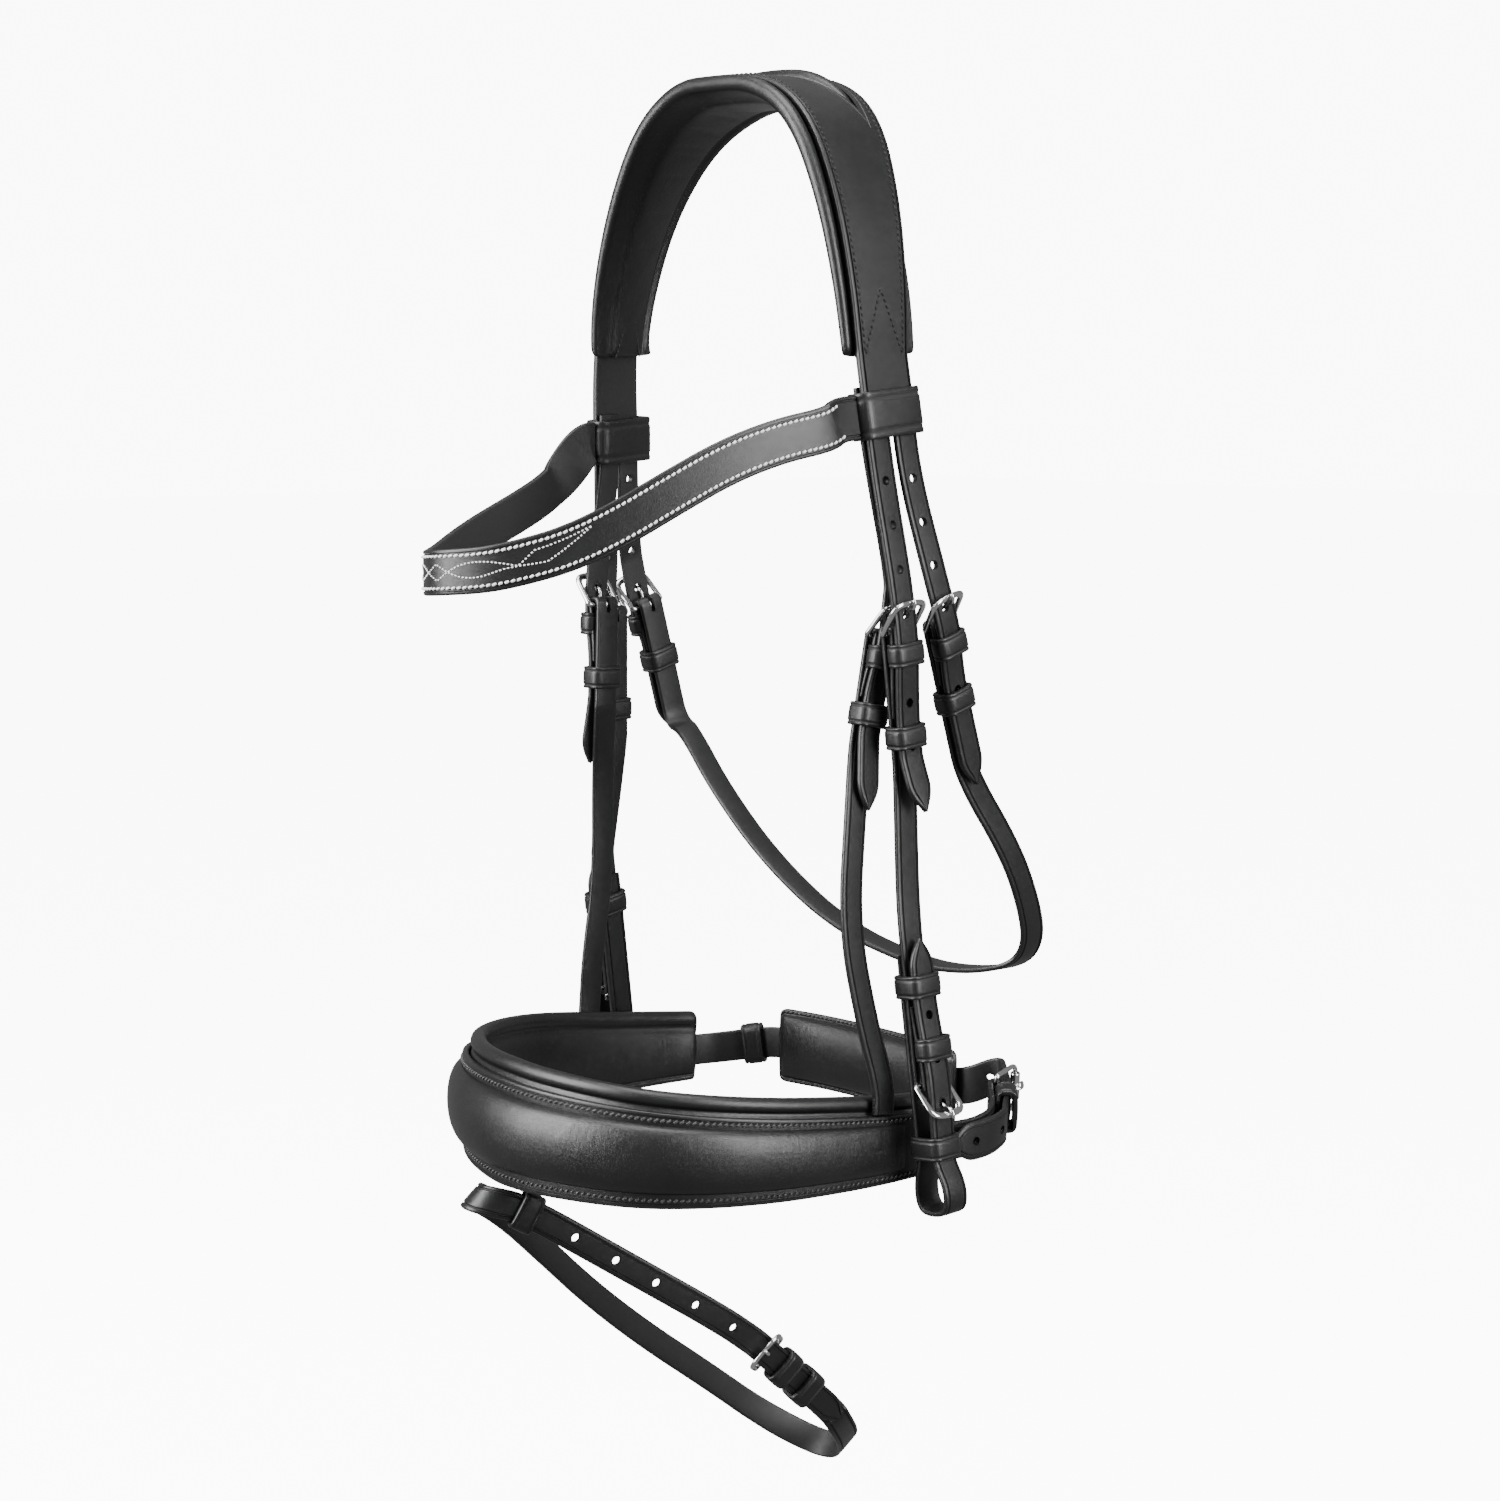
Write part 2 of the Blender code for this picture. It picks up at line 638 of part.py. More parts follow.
def seats(name):
    """The four buckles of one side."""
    sign = SIDES[name]
    out = X_AXIS * sign
    cheek = Seat(spot(CHEEK_SEAT_SHARES[name]), unit(-0.03 * sign, CHEEK_LEAN[name], 1.0), out)
    throat = Seat(spot(THROAT_SEAT_SHARES[name]), unit(0.0, THROAT_LEAN[name], 1.0), out, STRAP_W,
                  THROAT_CHAPE[name])
    place = Vector((cheek.place.x - sign * HANGER_INSET, HANGER_Y_SHARES[name] * REACH,
                    HANGER_Z_SHARES[name] * DROP))
    lean = 0.2 if name == "near" else 0.03
    hanger = Seat(place, unit(0.0, lean, 1.0), out, HANGER_W, SHORT_CHAPE)
    bit = Seat(spot(BIT_SEAT_SHARES[name]), unit(0.1 * sign, BIT_LEAN[name], -1.0), out, STRAP_W,
               BIT_CHAPE)
    return cheek, throat, hanger, bit


def punch_holes(piece, route, seat, above, below, pitch=HOLE_PITCH):
    """Holes along a tail: the one in use, some before the buckle and some beyond it."""
    used = min(route.lengths, key=lambda d: (route.sample(d)[0] - seat.at(HOLE_AT, TAIL_RISE)).length)
    span = (route.sample(used)[0] - seat.at(HOLE_AT, TAIL_RISE)).dot(seat.t)
    places, axes = [], []
    for k in range(-above, below + 1):
        point, _, _, out = route.frame(used + span + k * pitch)
        places.append(point)
        axes.append(out)
    punch(piece, places, axes)


TAIL_START_SHARES = {"cheek": (-0.28, 0.0), "throat": (0.27, 0.0), "noseband": (-0.30, -1.0)}


def build_side(name, crown, nose):
    sign = SIDES[name]
    cheek, throat, hanger, bit = seats(name)
    point, tangent, front, out = crown.frame(0.0 if sign > 0 else crown.total)
    down = -tangent * sign
    fore = -front * sign
    root = point + out * (PAD_END_T + GAP + CROWN_T / 2) + down * 2 * GAP
    rows = {"cheek": (cheek, CHEEK_TIP, CHEEK_KEEPER_AT, 3),
            "throat": (throat, THROAT_TIP[name], THROAT_KEEPER_AT[name], 3),
            "noseband": (hanger, HANGER_TIP, HANGER_KEEPER_AT, 0)}
    for part, (seat, tip, keeper_at, above) in rows.items():
        along, inward = TAIL_START_SHARES[part]
        start = root - front * along * CROWN_END_W + out * inward * (CROWN_T + 2 * GAP)
        if part == "noseband":
            start -= down * STRAP_W
        first = [(start, fore), (start + down * CROWN_END_W, fore)]
        tail, route = strap(f"{name}_{part}_tail", first + seat.tail(tip, keeper_at, TIP_STAND[part]),
                            seat.width, tip_end=True)
        punch_holes(tail, route, seat, above, 3 if part == "cheek" else 2)
        seat.buckle(f"{name}_{part}_buckle")
        seat.tongue(f"{name}_{part}_tongue")
        seat.running_keeper(f"{name}_{part}_keeper", keeper_at)
    build_cheekpiece(name, cheek, bit)
    build_hanger(name, hanger, nose)
    return throat


def flipped(rows):
    return [(point, -side) for point, side in reversed(rows)]


def build_cheekpiece(name, cheek, bit):
    main_run = cheek.run(CHEEK_KEEPER_AT) + [(spot(CHEEK_BEND_SHARES[name]), cheek.s)]
    main_run += [(point, -side) for point, side in reversed(
        [bit.corner(-share * BILLET_START, -FOLD_R) for share in (1.04, 1.2)])]
    lower = [(point, -side) for point, side in reversed(bit.fold())]
    piece, _ = strap(f"{name}_cheekpiece", cheek.fold() + main_run + lower,
                     skive_start=CHEEK_CHAPE / 2, skive_end=BIT_CHAPE / 2)
    cheek.cut_slot(piece)
    bit.cut_slot(piece)
    cheek.sew_keeper(piece, FIXED_KEEPER_AT)
    bit.sew_keeper(piece, BIT_FIXED_KEEPER_AT)
    back = -FOLD_R - STRAP_T - GAP
    wide, deep = BIT_LOOP_HALF, BIT_LOOP_L
    fore = TAIL_RISE - STRAP_T / 2
    loop = [(-BILLET_START, back), (-0.2 * BILLET_START, back), (0.56 * deep, back),
            (0.62 * deep, back), (0.78 * deep, -wide), (0.93 * deep, -wide), (deep, -0.6 * wide),
            (deep, 0.6 * wide), (0.93 * deep, wide), (0.78 * deep, wide), (0.62 * deep, fore),
            (0.56 * deep, fore)]
    route = [bit.corner(t, n) for t, n in loop] + bit.tail(BIT_TIP, BIT_KEEPER_AT)[1:]
    billet, route = strap(f"{name}_bit_billet", route, tip_end=True, skive_start=STRAP_W)
    punch_holes(billet, route, bit, 0, 2)
    bit.buckle(f"{name}_bit_buckle")
    bit.tongue(f"{name}_bit_tongue")
    low = back - STRAP_T / 2 - KEEPER_GAP
    bit.running_keeper(f"{name}_bit_keeper", BIT_KEEPER_AT, low=low)
    high = fore + STRAP_T / 2 + 2 * KEEPER_GAP
    edit = loft(bit.keeper_rings(LOOP_KEEPER_AT, low - KEEPER_GAP, high), closed=True)
    add_object(f"{name}_bit_loop_keeper", edit, LEATHER, bit.at(LOOP_KEEPER_AT, 0))


# Bends of the hangers on the way down, and where they meet the noseband's top edge
HANGER_ROUTE_SHARES = {
    "near": ((0.915, -0.14, -0.62), (0.95, -0.178, -0.72), (0.985, -0.135, -0.81)),
    "far": ((-0.93, -0.105, -0.62), (-0.955, -0.095, -0.72), (-0.98, -0.12, -0.80))}
HANGER_FOOT_SHARE = {"near": -0.095, "far": -0.135}


def build_hanger(name, hanger, nose):
    sign = SIDES[name]
    fore = Y_AXIS * sign
    y = HANGER_FOOT_SHARE[name] * REACH
    side_runs = [d for d in nose.lengths if nose.sample(d)[0].x * sign > 0]
    foot = min(side_runs, key=lambda d: abs(nose.sample(d)[0].y - y))
    point, _, up, out = nose.frame(foot)
    top = nose_height(nose_share(nose, foot)) / 2 + 4 * GAP
    low = hanger.run(HANGER_KEEPER_AT)
    low += [(spot(row), fore) for row in HANGER_ROUTE_SHARES[name]]
    low += [(point + up * (top + k * HANGER_W) + out * (NOSE_T / 2 + GAP), fore) for k in (1, 0)]
    piece, _ = strap(f"{name}_hanger", hanger.fold() + low, HANGER_W,
                     skive_start=SHORT_CHAPE / 2)
    hanger.cut_slot(piece)
    hanger.sew_keeper(piece, FIXED_KEEPER_AT)


# Throatlatch: from the near buckle under the jaw to the far one
THROAT_ROUTE_SHARES = (
    (1.01, 0.330, -0.672), (1.00, 0.400, -0.724), (0.95, 0.446, -0.762), (0.85, 0.448, -0.786),
    (0.66, 0.386, -0.794), (0.44, 0.318, -0.789), (0.08, 0.224, -0.758), (-0.29, 0.168, -0.701),
    (-0.62, 0.150, -0.638), (-0.85, 0.152, -0.586))


def build_throatlatch(near, far):
    rows = near.fold() + near.run(THROAT_KEEPER_AT["near"])
    rows.append(near.corner(-0.95 * THROAT_TIP["near"], -FOLD_R))
    rows += [(spot(row), Y_AXIS) for row in THROAT_ROUTE_SHARES]
    low = far.run(THROAT_KEEPER_AT["far"]) + [far.corner(-0.95 * THROAT_TIP["far"], -FOLD_R)]
    rows += flipped(far.fold() + low)
    piece, _ = strap("throatlatch", rows, skive_start=SHORT_CHAPE / 2, skive_end=SHORT_CHAPE / 2)
    for seat in (near, far):
        seat.cut_slot(piece)
        seat.sew_keeper(piece, FIXED_KEEPER_AT)


# Browband
BROW_W = 19.0 * mm
BROW_T = 3.0 * mm
LOOP_L = 20.0 * mm
LOOP_T = 2.0 * mm
LOOP_ROOM = 1.0 * mm
BROW_PLAN_POWER = 1.62
BROW_HALF_SHARE = 0.985
BROW_BACK_SHARE = -0.045
# Height along each half: plan angle share, 0 at the front and 1 at the loop, and drop share
BROW_FRONT_SHARE = -0.98
BROW_NEAR_SHARES = ((0.0, 0.407), (0.2, 0.404), (0.3, 0.397), (0.4, 0.386), (0.5, 0.366), (0.6, 0.339),
                    (0.7, 0.313), (0.8, 0.296), (0.9, 0.287))
BROW_FAR_SHARES = ((0.15, 0.409), (0.3, 0.411), (0.4, 0.408), (0.5, 0.399), (0.6, 0.388), (0.7, 0.376),
                   (0.78, 0.365), (0.85, 0.353), (0.905, 0.339))
BROW_STRAIGHT = {"near": 10.0 * mm, "far": 6.0 * mm}   # how far the band runs straight out of its loop


def brow_point(sign, share, height_share):
    """A point of the browband's plan, which narrows towards the face at its front."""
    angle = share * (pi / 2 - radians(8))
    power = 2 / BROW_PLAN_POWER
    x = BROW_HALF_SHARE * HALF_WIDTH * sin(angle) ** power
    y = lerp(BROW_BACK_SHARE, BROW_FRONT_SHARE, cos(angle) ** power) * REACH
    return Vector((sign * x, y, -height_share * DROP))


def build_browband(crown):
    """The band and the two loops at its ends, which go round the crown's ends."""
    ends = {}
    under = -(CROWN_T + 2 * GAP + STRAP_T / 2) - LOOP_ROOM
    over = CROWN_T / 2 + LOOP_ROOM
    for name, d in (("near", 0.0), ("far", crown.total)):
        point, tangent, _, out = crown.frame(d)
        place = point + out * (PAD_END_T + GAP + CROWN_T / 2)
        seat = Seat(place, tangent * SIDES[name], out, CROWN_END_W)
        build_loop(f"{name}_browband_loop", seat, under, over)
        fore = seat.s if seat.s.y < 0 else -seat.s
        face = CROWN_END_W / 2 + LOOP_ROOM + LOOP_T + GAP
        middle = seat.at(0.0, (under + over) / 2)
        ends[name] = [(middle + fore * (face + k), seat.t) for k in (BROW_STRAIGHT[name], 0)]
    rows = list(reversed(ends["far"]))
    rows += [(brow_point(-1, a, h), Z_AXIS) for a, h in reversed(BROW_FAR_SHARES)]
    rows += [(brow_point(1, a, h), Z_AXIS) for a, h in BROW_NEAR_SHARES]
    strap("browband", rows + ends["near"], BROW_W, BROW_T)


def build_loop(name, seat, under, over):
    half_w = seat.width / 2 + LOOP_ROOM
    rings = []
    for along, grow in ((-0.5, 0.0), (-0.5, LOOP_T - EDGE), (-0.5, LOOP_T), (0.5, LOOP_T),
                        (0.5, LOOP_T - EDGE), (0.5, 0.0)):
        inner = EDGE if grow == LOOP_T else 0.0
        t = along * (LOOP_L - 2 * inner)
        points = [Vector((-half_w - grow, under - grow, 0)), Vector((half_w + grow, under - grow, 0)),
                  Vector((half_w + grow, over + grow, 0)), Vector((-half_w - grow, over + grow, 0))]
        corner = KEEPER_CORNER_R if grow else KEEPER_CORNER_R / 2
        rings.append([seat.at(t, p.y, p.x) for p in round_corners(points, [corner] * 4, 2)])
    add_object(name, loft(rings, closed=True), LEATHER)


# Noseband
NOSE_ROUTE_SHARES = (
    (-0.960, 0.200, -0.911), (-0.985, 0.120, -0.910), (-0.990, 0.030, -0.908), (-0.985, -0.100, -0.905),
    (-0.965, -0.240, -0.900), (-0.915, -0.390, -0.896), (-0.815, -0.535, -0.895), (-0.64, -0.660, -0.896),
    (-0.36, -0.742, -0.900), (0.0, -0.780, -0.904), (0.36, -0.745, -0.907), (0.64, -0.668, -0.911),
    (0.815, -0.540, -0.915), (0.915, -0.390, -0.919), (0.965, -0.240, -0.922), (0.985, -0.100, -0.925),
    (0.995, 0.030, -0.926), (1.005, 0.115, -0.926))
NOSE_FRONT_H = 47.0 * mm
NOSE_END_H = 26.0 * mm
NOSE_T = 3.0 * mm
ROLL_RISE = 9.0 * mm
ROLL_END_RISE = 2.0 * mm
LAP_L = 22.0 * mm            # where the crank's straps are sewn on the flat ends
LINING_T = 8.0 * mm
LINING_EDGE = 1.2 * mm
LINING_ROLL_R = 4.0 * mm


def nose_share(route, d):
    """0 at the middle of the noseband's front, 1 at its ends."""
    return min(1.0, abs(2 * d / route.total - 1))


def nose_height(share):
    return lerp(NOSE_FRONT_H, NOSE_END_H, share ** 1.2)


ROLL_SHARES = ((0.40, 0.0), (0.35, 0.42), (0.24, 0.80), (0.10, 0.98), (-0.10, 0.98), (-0.24, 0.80),
               (-0.35, 0.42), (-0.40, 0.0))


def build_noseband():
    route = Route(corners(NOSE_ROUTE_SHARES, Z_AXIS), (LAP_L, -LAP_L), 2 * CHORD_ERROR)
    rings, pads = [], []
    for d in route.stations():
        point, _, side, out = route.frame(d)
        share = nose_share(route, d)
        h = nose_height(share)
        rise = lerp(ROLL_RISE, ROLL_END_RISE, share ** 1.2)
        rise *= min(1.0, max(0.0, (route.total / 2 * (1 - share) - LAP_L) / LAP_L))
        section = [(-h / 2, 0.0), (h / 2, 0.0), (h / 2, NOSE_T)]
        section += [(a * h, NOSE_T + b * rise) for a, b in ROLL_SHARES]
        section += [(-h / 2, NOSE_T)]
        rings.append([point + side * a + out * b for a, b in section])
    add_object("noseband_front", loft(rings), LEATHER)
    inset = LINING_T / 3
    inner = [d for d in route.stations() if 2 * inset < d < route.total - 2 * inset]
    for d in [0.0, inset] + inner + [route.total - inset, route.total]:
        point, _, side, out = route.frame(d)
        closing = 0.6 if d in (0.0, route.total) else 1.0
        h = nose_height(nose_share(route, d))
        top, low = h / 2 - LINING_EDGE, -h / 2 + LINING_EDGE / 2
        mid = -GAP - LINING_T / 2
        roll = LINING_ROLL_R * closing
        centre = top + LINING_EDGE + GAP + LINING_ROLL_R
        section = [(low, mid + LINING_T / 5), (low + LINING_EDGE, mid + closing * LINING_T / 2),
                   (top, mid + closing * LINING_T / 2)]
        section += [(centre - roll * cos(radians(k)), mid + roll * sin(radians(k)))
                    for k in (35, 80, 125, 170, 215, 260, 305)]
        section += [(0.55 * top, mid - closing * LINING_T / 2.4), (0.0, mid - closing * LINING_T / 2),
                    (0.6 * low, mid - closing * LINING_T / 2.4), (low, mid - LINING_T / 5)]
        pads.append([point + side * a + out * b for a, b in section])
    add_object("noseband_lining", loft(pads), SOFT_LEATHER)
    return route


# Crank side of the noseband, chin strap and chin pad
CRANK_SEAT_SHARES = (0.885, 0.353, -0.9062)
CRANK_CHAPE = 18.0 * mm
CRANK_BEND = 23.0 * mm
CRANK_LAP = 14.0 * mm
ROLLER_GAP = 0.25 * mm
ROLLER_T = 0.8 * mm
CHIN_PAD_H = 36.0 * mm
CHIN_PAD_T = 10.0 * mm
CHIN_PAD_SHARES = ((-0.635, 0.350, -0.902), (-0.35, 0.376, -0.903), (0.0, 0.384, -0.905),
                   (0.32, 0.378, -0.907), (0.575, 0.352, -0.909))
CHIN_KEEPER_AT = 50.0 * mm
CHIN_KEEPER_ROOM = 1.8 * mm
CHIN_STRAP_SHARES = ((-0.90, 0.325, -0.909), (-0.80, 0.375, -0.905))


def lapped(route, from_end, offset, inward=0.0):
    """A corner on the noseband's outer face, a distance in from one of its ends."""
    d = inward if from_end == "far" else route.total - inward
    point, tangent, side, out = route.frame(d)
    return point + out * offset, tangent


def build_crank(nose):
    seat = Seat(spot(CRANK_SEAT_SHARES), unit(-0.72, 0.64, 0.28), unit(0.66, 0.74, 0.0), CRANK_W,
                CRANK_CHAPE, 0.0, BAR_R + ROLLER_GAP + ROLLER_T)
    down = -Z_AXIS
    on_nose = NOSE_T + LIE_GAP + STRAP_T / 2
    stack = TAIL_LOW + FOLD_R + 2 * LIE_GAP
    start, run = lapped(nose, "near", on_nose, CRANK_LAP)
    end, run = lapped(nose, "near", on_nose)
    leave = end + run * CRANK_LAP
    rows = seat.fold() + [seat.corner(-CRANK_BEND, -FOLD_R), (leave, down), (end, down),
                          (start, down)]
    piece, _ = strap("crank_buckle_strap", rows, CRANK_W, skive_start=CRANK_CHAPE / 2)
    seat.cut_slot(piece)
    seat.sew_keeper(piece, FIXED_KEEPER_AT, low=0.3 * FOLD_R)
    seat.buckle("crank_buckle")
    seat.tongue("crank_tongue")
    build_roller(seat)

    pad = Route(corners(CHIN_PAD_SHARES, down))
    build_chin_pad(pad)
    on_pad = CHIN_PAD_T / 2 + 2 * LIE_GAP + STRAP_T / 2
    far_start, _ = lapped(nose, "far", on_nose, CRANK_LAP)
    far_end, far_run = lapped(nose, "far", on_nose)
    rows = [(far_start, down), (far_end, down), (far_end - far_run * CRANK_LAP, down)]
    rows += [(spot(row), down) for row in CHIN_STRAP_SHARES]
    for share in (-0.02, 0.1, 0.25, 0.4, 0.55, 0.7, 0.85, 1.0):
        point, tangent, _, out = pad.frame(pad.total * max(share, 0.0))
        over = min(share, 0.0) * pad.total
        rows.append((point + out * on_pad + tangent * over, down))
    rows += seat.tail(CRANK_BEND, -CRANK_BEND, top=2.0 * FRAME_RUN)[:-4]
    rows += [seat.corner(-0.87 * CRANK_BEND, TAIL_LOW),
             seat.corner(-CRANK_BEND - 0.45 * stack, TAIL_LOW)]
    outward = (leave - end).normalized().cross(down)
    if outward.x < 0:
        outward = -outward
    beyond = (end - leave).normalized() * CRANK_LAP / 2
    rows += [(leave + outward * (stack + GAP), down), (end + beyond + outward * (stack + GAP), down)]
    wide = STRAP_W * 1.15 / CRANK_W
    tail, route = strap("crank_strap", rows, CRANK_W, tip_end=True,
                        width_share=lambda u: lerp(wide, 1.0, min(1.0, max(0.0, 4 * u - 1.4))))
    punch_holes(tail, route, seat, 1, 3)
    point, tangent, side, out = route.frame(CHIN_KEEPER_AT)
    band = Seat(point, -tangent, out, STRAP_W * 1.15)
    reach = STRAP_T / 2 + CHIN_KEEPER_ROOM
    band.running_keeper("chin_keeper", 0.0, low=-reach, high=reach)


def build_roller(seat):
    """A sleeve that turns on the crank buckle's front bar, where the strap runs."""
    half = seat.frame_half() - FRAME_CORNER_R - ROLLER_GAP
    inner, outer = BAR_R + ROLLER_GAP, BAR_R + ROLLER_GAP + ROLLER_T
    centre = seat.at(FRAME_RUN, FRAME_LIFT)
    rings = []
    for r, end in ((inner, -half), (outer, -half), (outer, half), (inner, half)):
        rings.append([centre + seat.t * a + seat.n * b + seat.s * end for a, b in circle(r, 12)])
    add_object("crank_roller", loft(rings, closed=True), STEEL, centre)


def build_chin_pad(route):
    """A stitched pad with a crowned middle on the chin's side and a flat back."""
    rings = []
    half_h = CHIN_PAD_H / 2
    border = STRAP_T
    steps = 12
    for k in range(steps + 1):
        u = k / steps
        d = route.total * u
        point, _, side, out = route.frame(d)
        crown = sin(pi * u) ** 0.5 if 0 < u < 1 else 0.0
        fill = border + (CHIN_PAD_T - border) * crown
        back = CHIN_PAD_T / 2
        w = half_h * (0.94 if k in (0, steps) else 1.0)
        section = [(-w, back), (-w, back - border)]
        for a in (-0.84, -0.6, -0.3, 0.0, 0.3, 0.6, 0.84):
            swell = (1 - (a / 0.9) ** 2) ** 0.5 if abs(a) < 0.9 else 0.0
            section.append((a * w, back - border - (fill - border) * swell))
        section += [(w, back - border), (w, back)]
        rings.append([point + side * a + out * b for a, b in section])
    add_object("chin_pad", loft(rings), SOFT_LEATHER)


# Flash: a strap loop that hangs from a leather loop under the noseband's front
FLASH_CHAPE = 22.0 * mm
FLASH_TIP = 60.0 * mm
FLASH_KEEPER_AT = -30.0 * mm
FLASH_TAB_H = 0.8 * mm
FLASH_PITCH = 22.5 * mm
FLASH_TOWARD = (0.03, -0.757, 0.653)
FLASH_OUT = (0.93, -0.30, -0.10)
FLASH_LOOP_ROOM = 0.6 * mm
FLASH_LEAN = (0.0, 0.56, 0.83)
FLASH_FAR_LEAN = (-0.25, 0.46, 0.85)
# From the hang point, as shares: the buckle, the rear bend and the far run, then the front bend
FLASH_SEAT_FROM_HANG = (0.292, 0.677, -0.178)
FLASH_REAR_FROM_HANG = ((0.275, 0.925, -0.263), (0.16, 1.020, -0.295), (-0.02, 1.078, -0.317),
                        (-0.20, 1.058, -0.315))
FLASH_FAR_FROM_HANG = ((-0.32, 0.94, -0.284), (-0.365, 0.778, -0.236), (-0.385, 0.574, -0.180),
                       (-0.365, 0.393, -0.126), (-0.335, 0.247, -0.077), (-0.285, 0.090, -0.026))
FLASH_FRONT_FROM_HANG = ((-0.23, -0.020, 0.0), (-0.14, -0.058, 0.002), (-0.045, -0.035, 0.0))


def build_flash(nose):
    front = nose.total / 2
    point, _, up, out = nose.frame(front)
    under = point - Z_AXIS * (NOSE_FRONT_H / 2 + GAP)
    lean, far_lean = unit(*FLASH_LEAN), unit(*FLASH_FAR_LEAN)
    drop = FLASH_TAB_H + (STRAP_W / 2 + FLASH_LOOP_ROOM + KEEPER_T) * lean.z
    hang = under - Z_AXIS * drop + Y_AXIS * lean.y * STRAP_W / 3

    def at(shares, side):
        return (hang + spot(shares), side)

    place = hang + spot(FLASH_SEAT_FROM_HANG)
    seat = Seat(place, unit(*FLASH_TOWARD), unit(*FLASH_OUT), STRAP_W, FLASH_CHAPE)
    lean = seat.s if seat.s.z > 0 else -seat.s
    sign = 1 if seat.s.z > 0 else -1
    rear = [seat.corner(-0.95 * FLASH_TIP, -FOLD_R)]
    rear += [at(row, lean * sign) for row in FLASH_REAR_FROM_HANG]
    rear += [at(row, far_lean * sign) for row in FLASH_FAR_FROM_HANG]
    rear += [at(row, lean * sign) for row in FLASH_FRONT_FROM_HANG]
    top = seat.at(2.2 * FRAME_RUN, TAIL_RISE)
    rear += [(hang.lerp(top, share), lean * sign) for share in (0.05, 0.5, 0.9)]
    rows = seat.fold() + rear + seat.tail(FLASH_TIP, FLASH_KEEPER_AT)[1:]
    piece, route = strap("flash_strap", rows, tip_end=True, skive_start=FLASH_CHAPE / 2)
    seat.cut_slot(piece)
    seat.sew_keeper(piece, FIXED_KEEPER_AT)
    punch_holes(piece, route, seat, 5, 0, FLASH_PITCH)
    seat.buckle("flash_buckle")
    seat.tongue("flash_tongue")
    seat.running_keeper("flash_keeper", FLASH_KEEPER_AT)
    loop_at = max((d for d in route.lengths if route.sample(d)[0].y < under.y + KEEPER_L),
                  key=lambda d: route.sample(d)[0].x)
    point, tangent, side, out = route.frame(loop_at)
    edge = Vector((0.0, nose.frame(front)[0].y + LINING_T / 4, under.z + LINING_EDGE / 2))
    build_flash_loop(Seat(point, -tangent, out, STRAP_W), edge)


def build_flash_loop(seat, edge):
    """A leather band round the flash strap, with a tab that reaches its seam under the noseband's
    lower edge. The tab turns at the seam, where the piece's origin is."""
    reach = STRAP_T / 2 + FLASH_LOOP_ROOM
    half_t = KEEPER_T / 2
    room = Seat(seat.place, seat.t, seat.n, STRAP_W + 2 * (FLASH_LOOP_ROOM - KEEPER_GAP))
    up = seat.s if seat.s.z > 0 else -seat.s
    crest = seat.place + up * (STRAP_W / 2 + FLASH_LOOP_ROOM + half_t)
    seam = Vector((crest.x, edge.y, edge.z - half_t))
    along = (crest - seam).normalized()
    across = along.cross(X_AXIS)
    edit = loft(room.keeper_rings(0.0, -reach, reach), closed=True)
    piece = add_object("flash_loop", edit, LEATHER, seam)
    length = (crest - seam).length
    outline = [(half_t * cos(radians(k)), half_t * sin(radians(k))) for k in range(90, 271, 36)]
    outline += [(length, -half_t), (length, half_t)]
    combine(piece, prism(outline, seam, along, across, X_AXIS, KEEPER_L / 3), "UNION")


def main():
    nose = build_noseband()
    crown = build_crown()
    throats = [build_side(name, crown, nose) for name in SIDES]
    build_throatlatch(*throats)
    build_browband(crown)
    build_crank(nose)
    build_flash(nose)


main()
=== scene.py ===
# %% [markdown]
# # A horse bridle, piece by piece
# A bridle is a set of leather straps that hang from the poll, just behind the ears. Nearly all of
# it is flat strap, so most of this lesson is one idea used again and again: a strap is a profile
# carried along a smooth middle line. The padded parts are closed skins that a cloth simulation
# fills with air, and the buckles are round wire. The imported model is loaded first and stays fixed.
# It gives the bodies that every piece rides on.

# %% Load the fixed frame
import json
from math import ceil, cos, pi, radians, sin

import bpy
import numpy as np
from mathutils import Matrix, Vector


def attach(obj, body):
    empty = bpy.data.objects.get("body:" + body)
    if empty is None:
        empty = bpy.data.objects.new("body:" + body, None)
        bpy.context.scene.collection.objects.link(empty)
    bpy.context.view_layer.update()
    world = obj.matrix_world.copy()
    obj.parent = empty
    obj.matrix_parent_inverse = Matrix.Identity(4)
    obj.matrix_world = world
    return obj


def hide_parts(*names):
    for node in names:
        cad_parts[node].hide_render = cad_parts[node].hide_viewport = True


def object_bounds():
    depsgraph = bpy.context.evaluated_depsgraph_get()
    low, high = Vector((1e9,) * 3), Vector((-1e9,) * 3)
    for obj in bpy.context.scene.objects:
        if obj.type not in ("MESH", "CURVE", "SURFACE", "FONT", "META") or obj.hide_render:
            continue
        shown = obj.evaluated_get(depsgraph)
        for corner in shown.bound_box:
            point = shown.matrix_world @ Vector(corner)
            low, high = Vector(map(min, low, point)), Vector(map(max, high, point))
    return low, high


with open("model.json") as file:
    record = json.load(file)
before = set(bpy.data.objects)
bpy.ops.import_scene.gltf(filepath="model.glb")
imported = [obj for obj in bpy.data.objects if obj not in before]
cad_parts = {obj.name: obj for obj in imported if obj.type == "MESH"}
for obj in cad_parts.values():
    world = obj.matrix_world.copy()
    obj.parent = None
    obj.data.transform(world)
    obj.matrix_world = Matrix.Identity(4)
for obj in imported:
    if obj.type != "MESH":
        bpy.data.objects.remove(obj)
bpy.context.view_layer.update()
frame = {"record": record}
body_of = {node: body for body, nodes in frame["record"]["behaviour"]["bodies"].items()
           for node in nodes}

